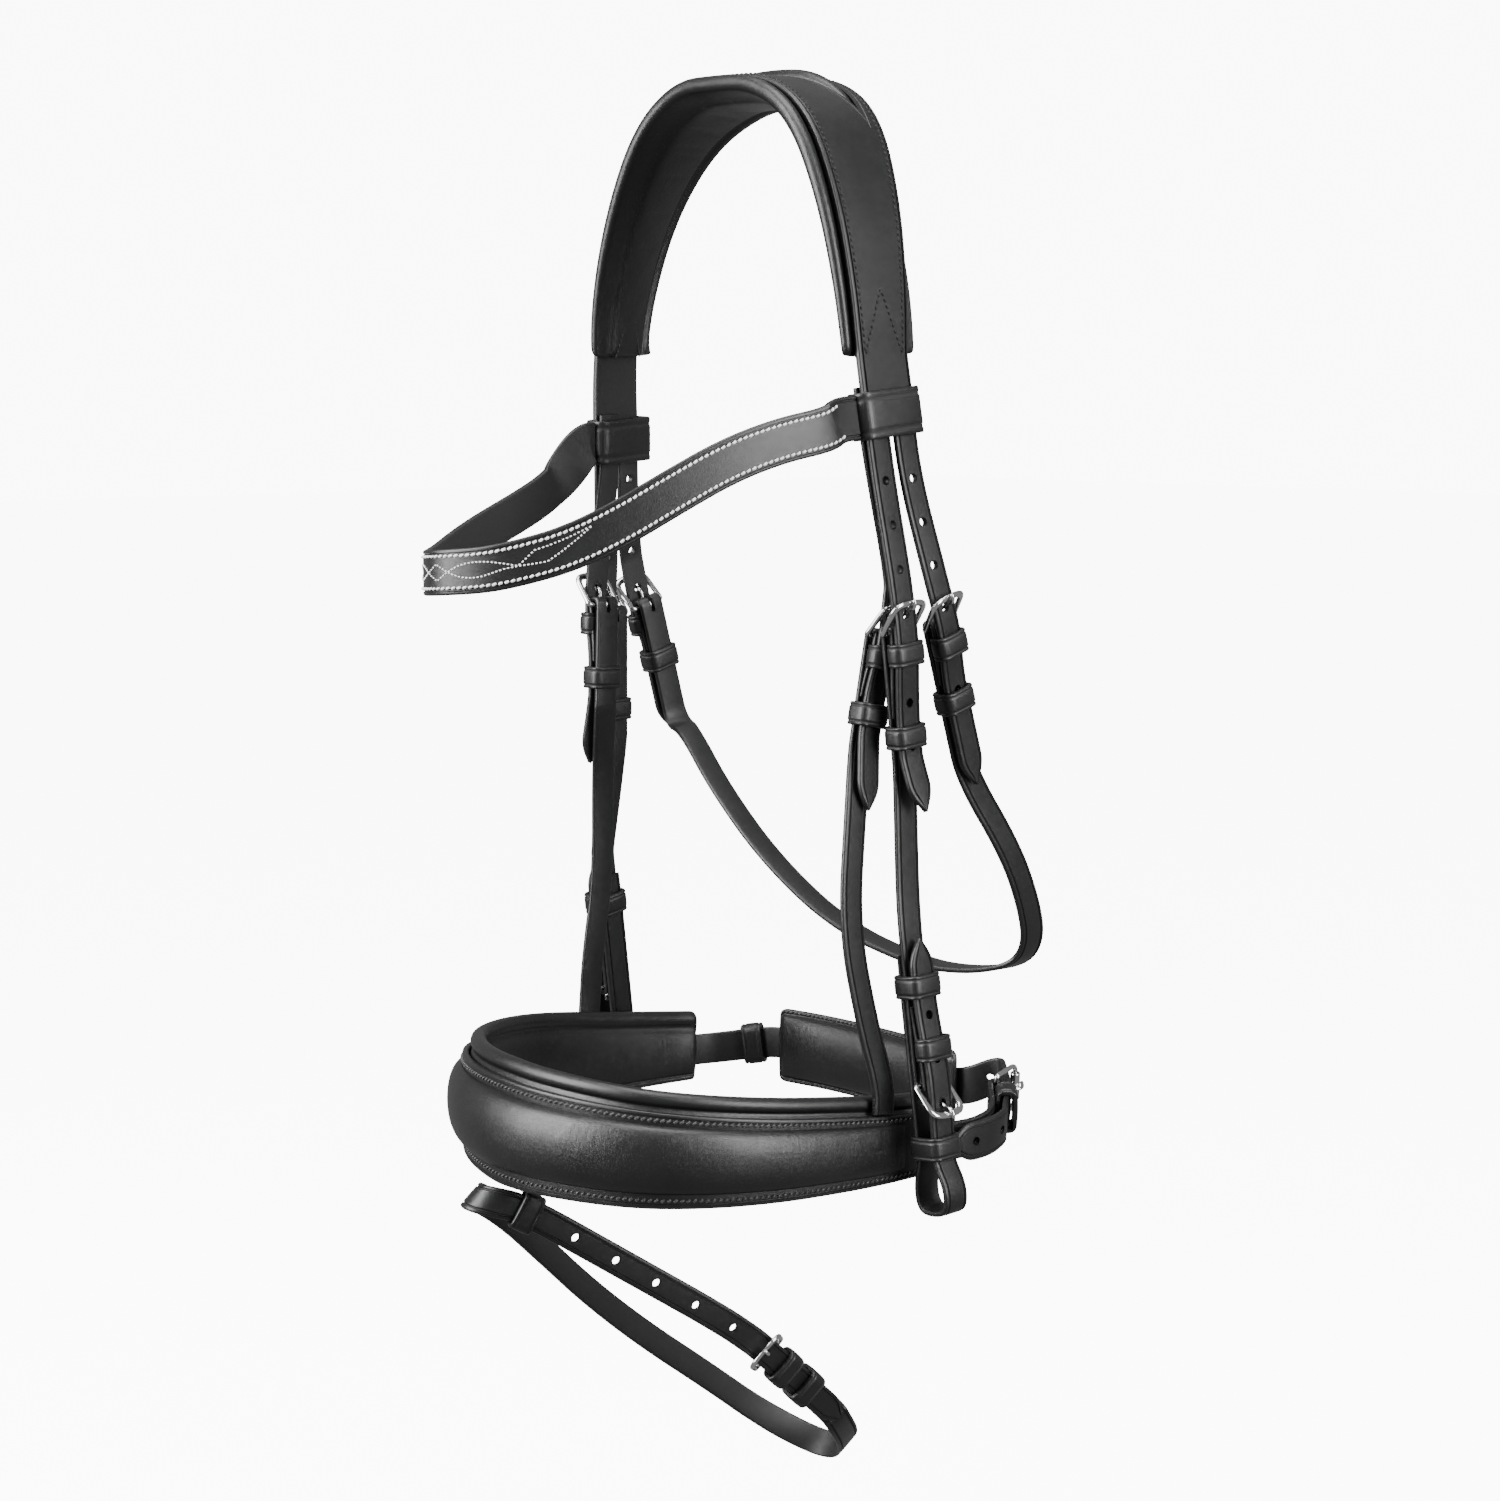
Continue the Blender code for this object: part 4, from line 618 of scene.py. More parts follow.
# %% Seats
class Seat:
    def __init__(self, place, toward, out, width=STRAP_W, chape=CHEEK_CHAPE, bow=FRAME_BOW,
                 bar_r=BAR_R):
        self.place = np.array(place, float)
        self.t = unit(np.array(toward, float))
        out = np.array(out, float)
        self.n = unit(out - self.t * np.dot(out, self.t))
        self.s = np.cross(self.t, self.n)
        self.width, self.chape, self.bow, self.bar_r = width, chape, bow, bar_r

    def at(self, t, n, s=0.0):
        return self.place + self.t * t + self.n * n + self.s * s

    def corner(self, t, n):
        return (self.at(t, n), self.s)

    def tail(self, tip, keeper_at, stand=0.0, top=2.2 * FRAME_RUN):
        """Corners of a buckled tail: above the frame, over the heel bar, down to its tip."""
        rows = [(top, TAIL_RISE - STRAP_T / 2), (1.3 * FRAME_RUN, TAIL_RISE - STRAP_T / 4),
                (0.6 * FRAME_RUN, TAIL_RISE), (0.0, TAIL_RISE + GAP / 3),
                (-0.25 * self.chape, TAIL_RISE - GAP / 2),
                (keeper_at + KEEPER_L, TAIL_LOW), (keeper_at - 0.6 * KEEPER_L, TAIL_LOW),
                (keeper_at - KEEPER_L, TAIL_LOW), (-tip, TAIL_LOW + stand)]
        return [self.corner(t, n) for t, n in rows]

    def run(self, keeper_at):
        return [self.corner(keeper_at - share * KEEPER_L, -FOLD_R) for share in (0.9, 1.5)]

    def fold(self):
        """Corners of a strap end folded round the heel bar, from its pared end to the strap."""
        skived = -FOLD_R + STRAP_T / 2 + GAP + SKIVED_T / 2
        rows = [(-share * self.chape, n) for share, n in (
            (1.0, skived), (0.75, skived + 0.3 * SKIVED_T), (0.5, 0.3 * FOLD_R),
            (0.25, 0.8 * FOLD_R))]
        angle = pi / 2 - (np.arange(6) + 0.5) * pi / 6
        reach = FOLD_R / cos(pi / 12)
        rows += list(zip(reach * np.cos(angle), reach * np.sin(angle)))
        rows.append((-0.25 * self.chape, -FOLD_R))
        return [self.corner(t, n) for t, n in rows]

    def slot_tool(self):
        """A prism with one round end, through both layers of the fold but not the tail."""
        half = TONGUE_R + SLOT_GAP
        low, high = -FOLD_R - STRAP_T, TAIL_RISE - STRAP_T / 2 - GAP / 2
        bend = np.arange(9) * pi / 8
        t = np.concatenate([[3 * FOLD_R, 3 * FOLD_R], -SLOT_BACK + half - half * np.sin(bend)])
        s = np.concatenate([[-half, half], half * np.cos(bend)])
        rows = [[self.at(a, n, b) for a, b in zip(t, s)] for n in (low, high)]
        return skin("slot", np.array(rows), STRAP_LEATHER)

    def frame_half(self):
        return self.width / 2 + FRAME_SIDE_GAP + BAR_R

    def buckle(self, name):
        """The frame's wire, a little flattened along the front bar."""
        w, bow = self.frame_half(), self.bow
        middle_r = 1.2 * FRAME_CORNER_R if bow else 0.01 * mm
        corners = [(0, 0, -w, HEEL_CORNER_R), (0, 0, w, HEEL_CORNER_R),
                   (FRAME_RUN, FRAME_LIFT, w, FRAME_CORNER_R),
                   (FRAME_RUN + bow, FRAME_LIFT + bow / 2, 0, middle_r),
                   (FRAME_RUN, FRAME_LIFT, -w, FRAME_CORNER_R)]
        points = rounded([self.at(*c[:3]) for c in corners], [c[3] for c in corners])
        front = np.clip(((points - self.place) @ self.t / FRAME_RUN - 0.5) / 0.4, 0, 1)
        plane = unit(self.n * FRAME_RUN - self.t * FRAME_LIFT)
        return tube(name, points, BAR_R * (1 - 0.08 * front), plane, ring=True,
                    flat=1 + 0.45 * front * (bow > 0))

    def tongue(self, name):
        """A pin from its eye round the heel bar, up the tail's hole and onto the front bar."""
        ring = BAR_R + GAP + TONGUE_R
        angle = np.radians(np.linspace(-55, -270, 15))
        rows = list(zip(ring * np.cos(angle), ring * np.sin(angle)))
        reach = 1.0 - 5 / 9 * FRAME_CORNER_R / self.frame_half()
        run, lift = FRAME_RUN + reach * self.bow, FRAME_LIFT + reach * self.bow / 2
        over = lift + self.bar_r + GAP + TONGUE_R
        rises = ((0.40, 1.05), (0.79, 1.15), (0.95, 1.9), (1.02, 2.45), (1.09, 3.0))
        bar = self.bar_r + 2 * GAP + TONGUE_R
        last = [(HOLE_AT * a, ring * b) for a, b in rises]
        last += [(run - 1.15 * bar, 0.84 * lift), (run - 1.05 * bar, lift + 0.25 * bar),
                 (run - 0.72 * bar, over - 0.1 * bar), (run, over + GAP),
                 (run + 1.5 * self.bar_r, over)]
        line = cut_corners(rows + last, 2)
        points = self.place + line[:, :1] * self.t + line[:, 1:] * self.n
        way = walk(points)
        ends = np.clip(np.minimum(way, way[-1] - way) / TONGUE_R, 0.05, 1)
        return tube(name, points, 1.2 * TONGUE_R * np.sqrt(ends * (2 - ends)), self.s, 14)


print("fold of", round(2 * FOLD_R / mm, 1), "mm round the heel bar")

# %% [markdown]
# ## Keepers
# A keeper is a band of leather round the strap, with rubbed edges and two pressed lines. Its
# profile runs along the strap, and it is carried round a rectangle with soft corners.

# %% Bands
BAND_INSET = np.array([0.0, 0.16, 0.45, 0.95, 1.35, 1.8, 2.2, 2.8]) * mm
BAND_RISE = np.array([-0.60, -0.26, -0.06, 0.02, -0.28, -0.28, 0.06, 0.12]) * mm
# The pressed lines' columns: the leather darkens them as painted shade and makes them rougher.
BAND_LINE = np.zeros(2 * len(BAND_INSET) + 2)
BAND_LINE[[5, 6, 11, 12]] = 1.0


def band(name, seat, t, low, high, length=KEEPER_L, wall=KEEPER_T, room=KEEPER_GAP, node=None,
         line_in=1.0, soft=2.0):
    """Rows go round the rectangle, and columns run over the outside and back on the inside. The
    outside swells a little in the middle of each side. line_in moves the pressed lines inward, and
    soft is how far the outer corners are rounded."""
    half_w = seat.width / 2 + room

    def outline(grow):
        w, lo, hi = half_w + grow, low - grow, high + grow
        deep = min(1.0, 0.5 * (hi - lo) / (2 * KEEPER_CORNER_R))
        corner = (soft if grow else 0.4 * soft) * KEEPER_CORNER_R * deep
        points = np.array([[-w, lo], [w, lo], [w, hi], [-w, hi]])
        line = rounded(points, [corner] * 4, 7)
        gap = np.roll(line, -1, 0) - line
        line = np.stack([line + gap * k for k in (0.0, 0.25, 0.5, 0.75)], 1).reshape(-1, 2)
        middle = np.array([0.0, (lo + hi) / 2])
        swell = (1 - ((line - middle) / (w, (hi - lo) / 2)) ** 2) * (0.5 * mm, 0.3 * mm)
        return line + swell[:, ::-1] * np.sign(line - middle) * bool(grow)

    inner, outer = outline(0.0), outline(wall)
    share = np.concatenate([[0.0], 1 + BAND_RISE / wall, (1 + BAND_RISE / wall)[::-1], [0.0]])
    inset = BAND_INSET * np.where(BAND_INSET > 0.5 * mm, line_in, 1.0)
    along = np.concatenate([[0.0], inset, (length - inset)[::-1], [length]]) - length / 2
    place = inner[:, None] + (outer - inner)[:, None] * share[None, :, None]
    points = (seat.place + seat.t * (t + along)[None, :, None] + seat.s * place[..., :1]
              + seat.n * place[..., 1:])
    trim = np.where(np.abs(along) > length / 2 - 0.4 * mm, 0.9, 0.0)
    piece = skin(name, points, STRAP_LEATHER, ring=True,
                 marks={"trim": trim, "flesh": 0.0, "line": BAND_LINE}, sharp=50)
    wear(piece, node or name, STRAP_LEATHER, stands_for=node is None)


def running_keeper(name, seat, t, low=-FOLD_R - STRAP_T / 2 - KEEPER_GAP):
    band(name, seat, t, low, TAIL_LOW + STRAP_T / 2 + 2 * KEEPER_GAP)


def fixed_keeper(node, label, seat, t, low=None):
    """The keeper that is sewn in at the fold, which rides with its strap."""
    drop = min(1.0, -t / (0.25 * seat.chape))
    low = FOLD_R * (1 - 0.2 * drop) - STRAP_T / 6 if low is None else low
    band(label, seat, t, low, KEEPER_TOP, node=node)


def holes(route, seat, above, below, pitch=HOLE_PITCH):
    """Punches along a tail: at the tongue, some before it and some beyond it."""
    line = route.sample(route.lengths)[:, :3]
    used = np.argmin(np.linalg.norm(line - seat.at(HOLE_AT, TAIL_RISE), axis=1))
    at = route.lengths[used] + (line[used] - seat.at(HOLE_AT, TAIL_RISE)) @ seat.t
    point, _, _, out = route.frames(at + np.arange(-above, below + 1) * pitch)
    return [drum(p, o, HOLE_R, 2 * STRAP_T) for p, o in zip(point, out)]


def buckle_up(name, seat, keeper_at, **kind):
    """A buckle with its tongue and its running keeper."""
    seat.buckle(name + "_buckle")
    seat.tongue(name + "_tongue")
    running_keeper(name + "_keeper", seat, keeper_at, **kind)


print("keepers", KEEPER_L / mm, "mm long")

# %% [markdown]
# ## Stitches
# A row of hand stitches is a line of short slanted rolls that sink in at both ends. One roll is
# thirty-odd faces, and the row places it many times at once: the roll's own frame is turned by the
# slant in the leather's plane.

# %% Rows of stitches
SEWING = {      # pitch, length and radius in mm, slant in degrees, rise in radii
    "crown": (2.9, 2.1, 0.5, 10, 0.4), "point": (2.8, 2.0, 0.55, 8, 0.4),
    "lining": (2.4, 1.9, 0.36, 6, 0.25), "noseband": (2.7, 2.5, 0.55, 38, 0.8),
    "browband": (2.65, 2.25, 0.56, 16, 0.7), "figure": (1.7, 1.1, 0.34, 0, 0.6),
    "chin": (2.6, 2.1, 0.36, 10, 0.25)}
ROLL_SHARE = np.array([-1.0, -0.72, 0.0, 0.72, 1.0])[:, None, None]
ROLL_THICK = np.array([0.35, 0.9, 1.0, 0.9, 0.35])[:, None, None]
ROLL_SUNK, ROLL_SIDES = -0.9, 6


def seam(name, route, d, across, out, node, finish, kind, facing=1):
    """Stitches at equal steps over distances d along a route, offset across and outward. facing is
    -1 on the strap's inner side."""
    pitch, length, radius, slant, rise = SEWING[kind]
    line = route.lay(d, *(np.broadcast_to(a, d.shape)[:, None] for a in (across, out)))[:, 0]
    way = walk(line)
    count = max(2, round(way[-1] / (pitch * mm)))
    at, step = (np.arange(count) + 0.5) * way[-1] / count, 0.3 * pitch * mm
    centre = read_off(at, way, line)
    up = unit(read_off(at, way, facing * route.frames(d)[3]))
    along = unit(read_off(at + step, way, line) - read_off(at - step, way, line))
    turned = along * cos(radians(slant)) + np.cross(up, along) * sin(radians(slant))
    x, y = circle(ROLL_SIDES)
    lift = np.array([ROLL_SUNK, 0.0, rise, 0.0, ROLL_SUNK])[:, None, None]
    rings = (ROLL_SHARE * X_AXIS * length / 2 + ROLL_THICK * radius * np.stack([0 * x, x, y], -1)
             + lift * Z_AXIS * radius) * mm
    basis = np.stack([turned, np.cross(up, turned), up], 1)
    points = centre[:, None, None] + np.einsum("rck,nkx->nrcx", rings, basis)
    single = grid_faces(5, ROLL_SIDES)
    first = np.arange(count)[:, None] * 5 * ROLL_SIDES
    faces = (first[:, None] + single[None]).reshape(-1, 4)
    end = first + np.arange(ROLL_SIDES)
    ends = np.concatenate([end[:, ::-1], end + 4 * ROLL_SIDES])
    if volume(points[0].reshape(-1, 3) - centre[0], single) < 0:
        faces, ends = faces[:, ::-1], ends[:, ::-1]
    row = new_piece(name, points.reshape(-1, 3), faces.tolist() + ends.tolist(), finish)
    row.data.shade_smooth()
    wear(row, node, finish, stands_for=False)


print("one stitch has", len(grid_faces(5, ROLL_SIDES)) + 2, "faces")

# %% [markdown]
# ## Places as shares
# The CAD part gives its places as shares of three sizes of the whole: half the width over the cheek
# buckles, the reach to the browband's front, and the drop to the near bit loop. The same shares are
# used here, so each dressed piece lies where its solid does.

# %% Sizes of the whole
HALF_WIDTH, REACH, DROP = 96.0 * mm, 184.0 * mm, 485.0 * mm
WHOLE = np.array([HALF_WIDTH, REACH, DROP])
SIDES = {"near": 1, "far": -1}


def spot(shares):
    return np.array(shares[:3], float) * WHOLE


def lerp(a, b, share):
    return a + (b - a) * share


print("half width", HALF_WIDTH, "reach", REACH, "drop", DROP)

# %% [markdown]
# ## Filling the padded parts
# Padding is foam under soft leather, drawn tight along its seams. Each padded part starts as a
# closed skin, a little too thin, that already has its rolls and sewn channels. A cloth simulation
# then blows it up while the seam points stay pinned, which rounds the panels and puckers them at
# the seams. No point may move further than a cap, so the pad stays clear of its neighbours.

# %% A padded skin
def soft_loop(*columns):
    """Closed corner cutting of a section. Each column is (across, outward, pin), where each of the
    three may be an array over the stations."""
    rows = max(np.size(part) for column in columns for part in column)
    loop = np.stack([np.stack([np.broadcast_to(part, rows) for part in column], -1)
                     for column in columns], 1).astype(float)
    for _ in range(2):
        after = np.roll(loop, -1, 1)
        loop = np.stack([0.75 * loop + 0.25 * after, 0.25 * loop + 0.75 * after], 2)
        loop = loop.reshape(rows, -1, 3)
    return loop[..., 0], loop[..., 1], loop[..., 2]


def closing(d, length, least):
    """A share that rises from least at both ends of a piece to 1, as a quarter circle does."""
    ends = np.clip(np.minimum(d - d[0], d[-1] - d) / length, 0, 1)
    return least + (1 - least) * np.sqrt(ends * (2 - ends))


PRESSURE, CLOTH_FRAMES = 5.0, 20


def puff(piece, pins, cap):
    """Swell a skin by cloth pressure, holding its pinned points, then cap each point's move."""
    rest = np.empty(len(piece.data.vertices) * 3)
    piece.data.vertices.foreach_get("co", rest)
    group = piece.vertex_groups.new(name="seams")
    for weight in np.unique(np.round(pins, 1)):
        chosen = np.flatnonzero(np.abs(np.round(pins, 1) - weight) < 0.01)
        if weight > 0:
            group.add(chosen.tolist(), float(weight), "REPLACE")
    cloth = piece.modifiers.new("filling", "CLOTH")
    cloth.settings.use_pressure = True
    cloth.settings.uniform_pressure_force = PRESSURE
    cloth.settings.mass = 0.05
    cloth.settings.tension_stiffness = cloth.settings.compression_stiffness = 8
    cloth.settings.bending_stiffness = 0.1
    cloth.settings.effector_weights.gravity = 0
    cloth.settings.vertex_group_mass = "seams"
    cloth.collision_settings.use_collision = False
    cloth.point_cache.frame_start, cloth.point_cache.frame_end = 1, CLOTH_FRAMES
    for number in range(1, CLOTH_FRAMES + 1):
        bpy.context.scene.frame_set(number)
    shown = piece.evaluated_get(bpy.context.evaluated_depsgraph_get())
    swollen = np.empty_like(rest)
    shown.data.vertices.foreach_get("co", swollen)
    piece.modifiers.remove(cloth)
    bpy.context.scene.frame_set(1)
    move = (swollen - rest).reshape(-1, 3)
    far = np.linalg.norm(move, axis=1, keepdims=True)
    move *= cap * np.tanh(far / cap) / np.maximum(far, 1e-9)
    piece.data.vertices.foreach_set("co", (rest.reshape(-1, 3) + move).ravel())
    piece.vertex_groups.clear()
    print(piece.name, "swelled by up to", round(far.max() / mm, 2), "mm, capped at", cap / mm)
    finer = piece.modifiers.new("finer", "SUBSURF")
    finer.levels = finer.render_levels = 1


def pad(name, route, d, columns, cap, channel_shade=0.8, node=None, held=1):
    """A padded piece along a route, with painted shade darkening its pinned seams and sewn channels.
    It stands for the node of its name unless another one is given. The first and last rows, as many
    as held says, are pinned."""
    a, b, pins = soft_loop(*columns)
    pins[:held] = pins[-held:] = 1.0
    # Painted shade: the line mark darkens the pinned seams and channels.
    piece = skin(name, route.lay(d, a, b), PAD_LEATHER, sharp=180,
                 marks={"trim": 0.0, "flesh": 0.0, "line": channel_shade * pins ** 4})
    puff(piece, pins.ravel(), cap)
    wear(piece, node or name.removeprefix("dressed_"), PAD_LEATHER, stands_for=node is None)

# %% [markdown]
# ## The headpiece
# The crown is one wide strap of thicker leather over a padded lining. It is widest on the poll,
# where a lens-shaped opening takes the pressure off and lets the padding rise through as a dome.
# Along the front edge the padding shows as a roll. The leather is laid a pad's thickness above the
# route, which is the pad's underside, and the opening is cut by a lens-shaped prism.

# %% Crown leather
CROWN_T, CROWN_POLL_W, CROWN_END_W = 3.0 * mm, 46.0 * mm, 29.0 * mm
PAD_T, PAD_END_T, PAD_EDGE_T, PAD_REAR = 9.5 * mm, 5.0 * mm, 3.0 * mm, 2.0 * mm
PAD_ROLL_R, PAD_END_ROLL_R, DOME_ROOM, DOME_RISE = 4.2 * mm, 2.4 * mm, 1.6 * mm, 6.5 * mm
DOME_PROUD, DOME_FORE = 2.4 * mm, 1.2 * mm
PAD_END = 0.226 * DROP
CROWN_SHARES = {
    "near": ((0.24, 0.0, -0.001, 0.0), (0.49, -0.022, -0.028, 0.0), (0.67, -0.044, -0.092, 0.0),
             (0.79, -0.060, -0.165, 0.0), (0.845, -0.064, -0.226, 0.0),
             (0.870, -0.052, -0.275, 0.0)),
    "far": ((-0.23, 0.0, -0.001, 0.0), (-0.46, -0.022, -0.030, 0.18),
            (-0.65, -0.044, -0.092, 0.30), (-0.775, -0.060, -0.165, 0.27),
            (-0.830, -0.064, -0.226, 0.2), (-0.850, -0.054, -0.303, 0.15))}
legs = {name: [(spot(row), -Y_AXIS - X_AXIS * sign * row[3]) for row in CROWN_SHARES[name]]
        for name, sign in SIDES.items()}
crown = Route(legs["near"][::-1] + [(np.zeros(3), -Y_AXIS)] + legs["far"])


def crown_sizes(d):
    """Share of the way to the pad's end, half width of the leather and thickness of the pad."""
    share = np.clip(-crown.sample(d)[:, 2] / PAD_END, 0, 1)
    half_w = lerp(CROWN_POLL_W, CROWN_END_W, share ** 0.8) / 2
    return share, half_w, lerp(PAD_T, PAD_END_T, share ** 2)


def crown_face(d):
    return crown_sizes(d)[2] + 2 * GAP + CROWN_T / 2


d = crown.stations(2.0 * mm)
a, b = strap_profile(crown_sizes(d)[1], np.full(len(d), CROWN_T / 2), 0.8)
crown_leather = skin("dressed_crown_leather", crown.lay(d, a, b + crown_face(d)[:, None]),
                     CROWN_LEATHER, marks={"trim": TRIM, "flesh": FLESH, "line": LINE * 0.6})
u = np.linspace(-1, 1, 33)[:-1]
x, y = np.concatenate([u, -u]) * LENS_L / 2, np.concatenate([-(1 - u * u), 1 - u * u]) * LENS_W / 2
low, high = [np.stack([x, y + LENS_BACK, np.full(64, z)], -1) for z in (-20 * mm, 60 * mm)]
carve(crown_leather, [skin("lens", np.stack([low, high]), STRAP_LEATHER)])
wear(crown_leather, "crown_leather", CROWN_LEATHER)
print("crown", round(crown.total / mm), "mm long,", len(crown_leather.data.polygons), "faces")

# %% [markdown]
# ### Its padded lining
# The section runs from the thin rear edge over the hidden top, where the dome rises inside the
# opening, round the front roll and back under. Two channels are pinned on the underside, so the
# filling makes a broad middle panel with a roll on either side of it, as on the real lining.

# %% Crown pad
line = crown.sample(crown.lengths)
inside = crown.lengths[-line[:, 2] < PAD_END]
d = np.linspace(inside[0], inside[-1], 190)
share, crown_w, thick = crown_sizes(d)
point = crown.sample(d)
close = closing(d, 5 * mm, 0.42)
mid, rear = thick / 2, crown_w + PAD_REAR
face = mid + mid * close - 2 * GAP
roll = lerp(PAD_ROLL_R, PAD_END_ROLL_R, share) * close * 0.93
middle = crown_w + 2 * GAP + lerp(PAD_ROLL_R, PAD_END_ROLL_R, share)
half = np.maximum(0, 1 - (point[:, 0] / (0.42 * LENS_L)) ** 2) * (LENS_W / 2 - DOME_ROOM)
rise = (DOME_RISE + DOME_PROUD) * (2 * half / LENS_W) ** 0.5
columns = [(-rear, mid + (PAD_EDGE_T * 0.7 - mid) * close, 0.4), (-crown_w, face - GAP, 1.0)]
columns += [(s * np.maximum(half, DOME_ROOM) + (s > 0) * DOME_FORE * (half > 0) + point[:, 1]
             - LENS_BACK, face + h * rise, 1.0 if h == 0 else 0.5)
            for s, h in ((-1, 0), (-0.95, 0.5), (-0.72, 0.85), (-0.28, 1.03), (0.28, 1.03),
                         (0.72, 0.85), (0.95, 0.5), (1, 0))]
columns += [(crown_w - GAP, face, 1.0)]
columns += [(middle + roll * cos(radians(k)), face + roll * sin(radians(k)), 0.0)
            for k in (165, 130, 95, 60, 25, -10, -45, -80)]
base = mid * (1 - close)
columns += [(0.80 * crown_w, base + 2.3 * mm * close, 1.0), (0.66 * crown_w, base + 0.2 * mm, 0.0),
            (0.3 * crown_w, base, 0.0), (-0.1 * crown_w, base, 0.0), (-0.48 * rear, base, 0.0),
            (-0.60 * rear, base + 0.2 * mm, 0.0), (-0.70 * rear, base + 2.1 * mm * close, 1.0),
            (-0.83 * rear, base + 0.3 * mm, 0.0), (-0.96 * rear, base + 0.5 * mm, 0.0)]
pad("dressed_crown_pad", crown, d, columns, 1.0 * mm)

# %% [markdown]
# ### Its stitching
# Two rows of black stitches hold the leather to the lining, a few millimetres in from the edges.
# Each end has a V of stitches, where the strap ends that carry the buckles are let in between the
# layers.

# %% Crown stitching
STITCH_IN = 3.6 * mm
d = np.linspace(inside[0] + 1 * mm, inside[-1] - 1 * mm, 400)
proud = crown_face(d) + CROWN_T / 2
for label, way in (("front", 1), ("rear", -1)):
    seam(f"crown_{label}_stitches", crown, d, way * (crown_sizes(d)[1] - STITCH_IN), proud,
         "crown_leather", SHADE_DARKENED_THREAD, "crown")
V_LONG = 27.0 * mm
for label, foot, way in (("near", inside[0], 1), ("far", inside[-1], -1)):
    u = np.linspace(0, 1, 60)
    d = foot + way * V_LONG * (1 - np.abs(2 * u - 1))
    a = lerp(crown_sizes(d[:1])[1][0] - STITCH_IN, -crown_sizes(d[-1:])[1][0] + STITCH_IN, u)
    seam(f"crown_{label}_point_stitches", crown, d, a, crown_face(d) + CROWN_T / 2,
         "crown_leather", SHADE_DARKENED_THREAD, "point")
    seam(f"crown_{label}_lining_stitches", crown, d, a * 0.8, 0.0, "crown_pad", BLACK_THREAD,
         "lining")
print("crown stitched")

# %% [markdown]
# ## Straps at the sides of the head
# Three tails leave each end of the crown: for the cheekpiece, the throatlatch and the noseband's
# hanger. Each goes through its buckle with a tongue and two keepers. The routes are the same sums
# on both sides; only the places differ.

# %% Seats and tails
SHORT_CHAPE, BIT_CHAPE = 26.0 * mm, 34.0 * mm
FIXED_KEEPER_AT, BIT_FIXED_KEEPER_AT = -8.8 * mm, -15.5 * mm
CHEEK_KEEPER_AT, HANGER_KEEPER_AT, BIT_KEEPER_AT = -44.5 * mm, -33.5 * mm, -42.5 * mm
THROAT_KEEPER_AT = {"near": -34.5 * mm, "far": -26.5 * mm}
THROAT_CHAPE = {"near": 26.0 * mm, "far": 21.0 * mm}
CHEEK_TIP, HANGER_TIP, BIT_TIP = 77.0 * mm, 74.0 * mm, 63.0 * mm
THROAT_TIP = {"near": 74.0 * mm, "far": 62.0 * mm}
TIP_STAND = {"cheek": 6.0 * mm, "throat": 0.0, "noseband": 6.0 * mm}
CHEEK_SEAT = {"near": (1.0, -0.052, -0.465), "far": (-1.0, -0.040, -0.470)}
THROAT_SEAT = {"near": (1.0, 0.083, -0.460), "far": (-1.03, 0.090, -0.463)}
HANGER_Y, HANGER_Z = {"near": -0.040, "far": -0.126}, {"near": -0.471, "far": -0.458}
BIT_SEAT = {"near": (1.167, -0.023, -0.8625), "far": (-1.15, 0.018, -0.838)}
CHEEK_LEAN, THROAT_LEAN = {"near": -0.10, "far": -0.02}, {"near": -0.31, "far": -0.28}
BIT_LEAN, HANGER_LEAN = {"near": 0.05, "far": 0.2}, {"near": 0.2, "far": 0.03}
HANGER_INSET = KEEPER_TOP + KEEPER_T + GAP + FOLD_R + STRAP_T / 2
TAIL_START = {"cheek": (-0.28, 0.0), "throat": (0.27, 0.0), "noseband": (-0.30, -1.0)}


def seats(name):
    sign = SIDES[name]
    out = X_AXIS * sign
    cheek = Seat(spot(CHEEK_SEAT[name]), (-0.03 * sign, CHEEK_LEAN[name], 1.0), out)
    throat = Seat(spot(THROAT_SEAT[name]), (0.0, THROAT_LEAN[name], 1.0), out, STRAP_W,
                  THROAT_CHAPE[name])
    place = (cheek.place[0] - sign * HANGER_INSET, HANGER_Y[name] * REACH, HANGER_Z[name] * DROP)
    hanger = Seat(place, (0.0, HANGER_LEAN[name], 1.0), out, HANGER_W, SHORT_CHAPE)
    bit = Seat(spot(BIT_SEAT[name]), (0.1 * sign, BIT_LEAN[name], -1.0), out, STRAP_W, BIT_CHAPE)
    return cheek, throat, hanger, bit


def dress_tails(name):
    """The three tails of one side with their buckles, tongues and running keepers."""
    sign = SIDES[name]
    cheek, throat, hanger, bit = seats(name)
    point, tangent, front, out = crown.frame(0.0 if sign > 0 else crown.total)
    down, fore = -tangent * sign, -front * sign
    root = point + out * (PAD_END_T + GAP + CROWN_T / 2) + down * 2 * GAP
    rows = {"cheek": (cheek, CHEEK_TIP, CHEEK_KEEPER_AT, 3, 3),
            "throat": (throat, THROAT_TIP[name], THROAT_KEEPER_AT[name], 3, 2),
            "noseband": (hanger, HANGER_TIP, HANGER_KEEPER_AT, 0, 2)}
    for part, (seat, tip, keeper_at, before, beyond) in rows.items():
        along, inward = TAIL_START[part]
        start = root - front * along * CROWN_END_W + out * inward * (CROWN_T + 2 * GAP)
        if part == "noseband":
            start = start - down * STRAP_W
        first = [(start, fore), (start + down * CROWN_END_W, fore)]
        strap(f"{name}_{part}_tail", first + seat.tail(tip, keeper_at, TIP_STAND[part]), seat.width,
              tip=True, cut=lambda route: holes(route, seat, before, beyond))
        buckle_up(f"{name}_{part}", seat, keeper_at)
    return cheek, throat, hanger, bit


near, far = dress_tails("near"), dress_tails("far")
print("six tails, buckles, tongues and keepers")

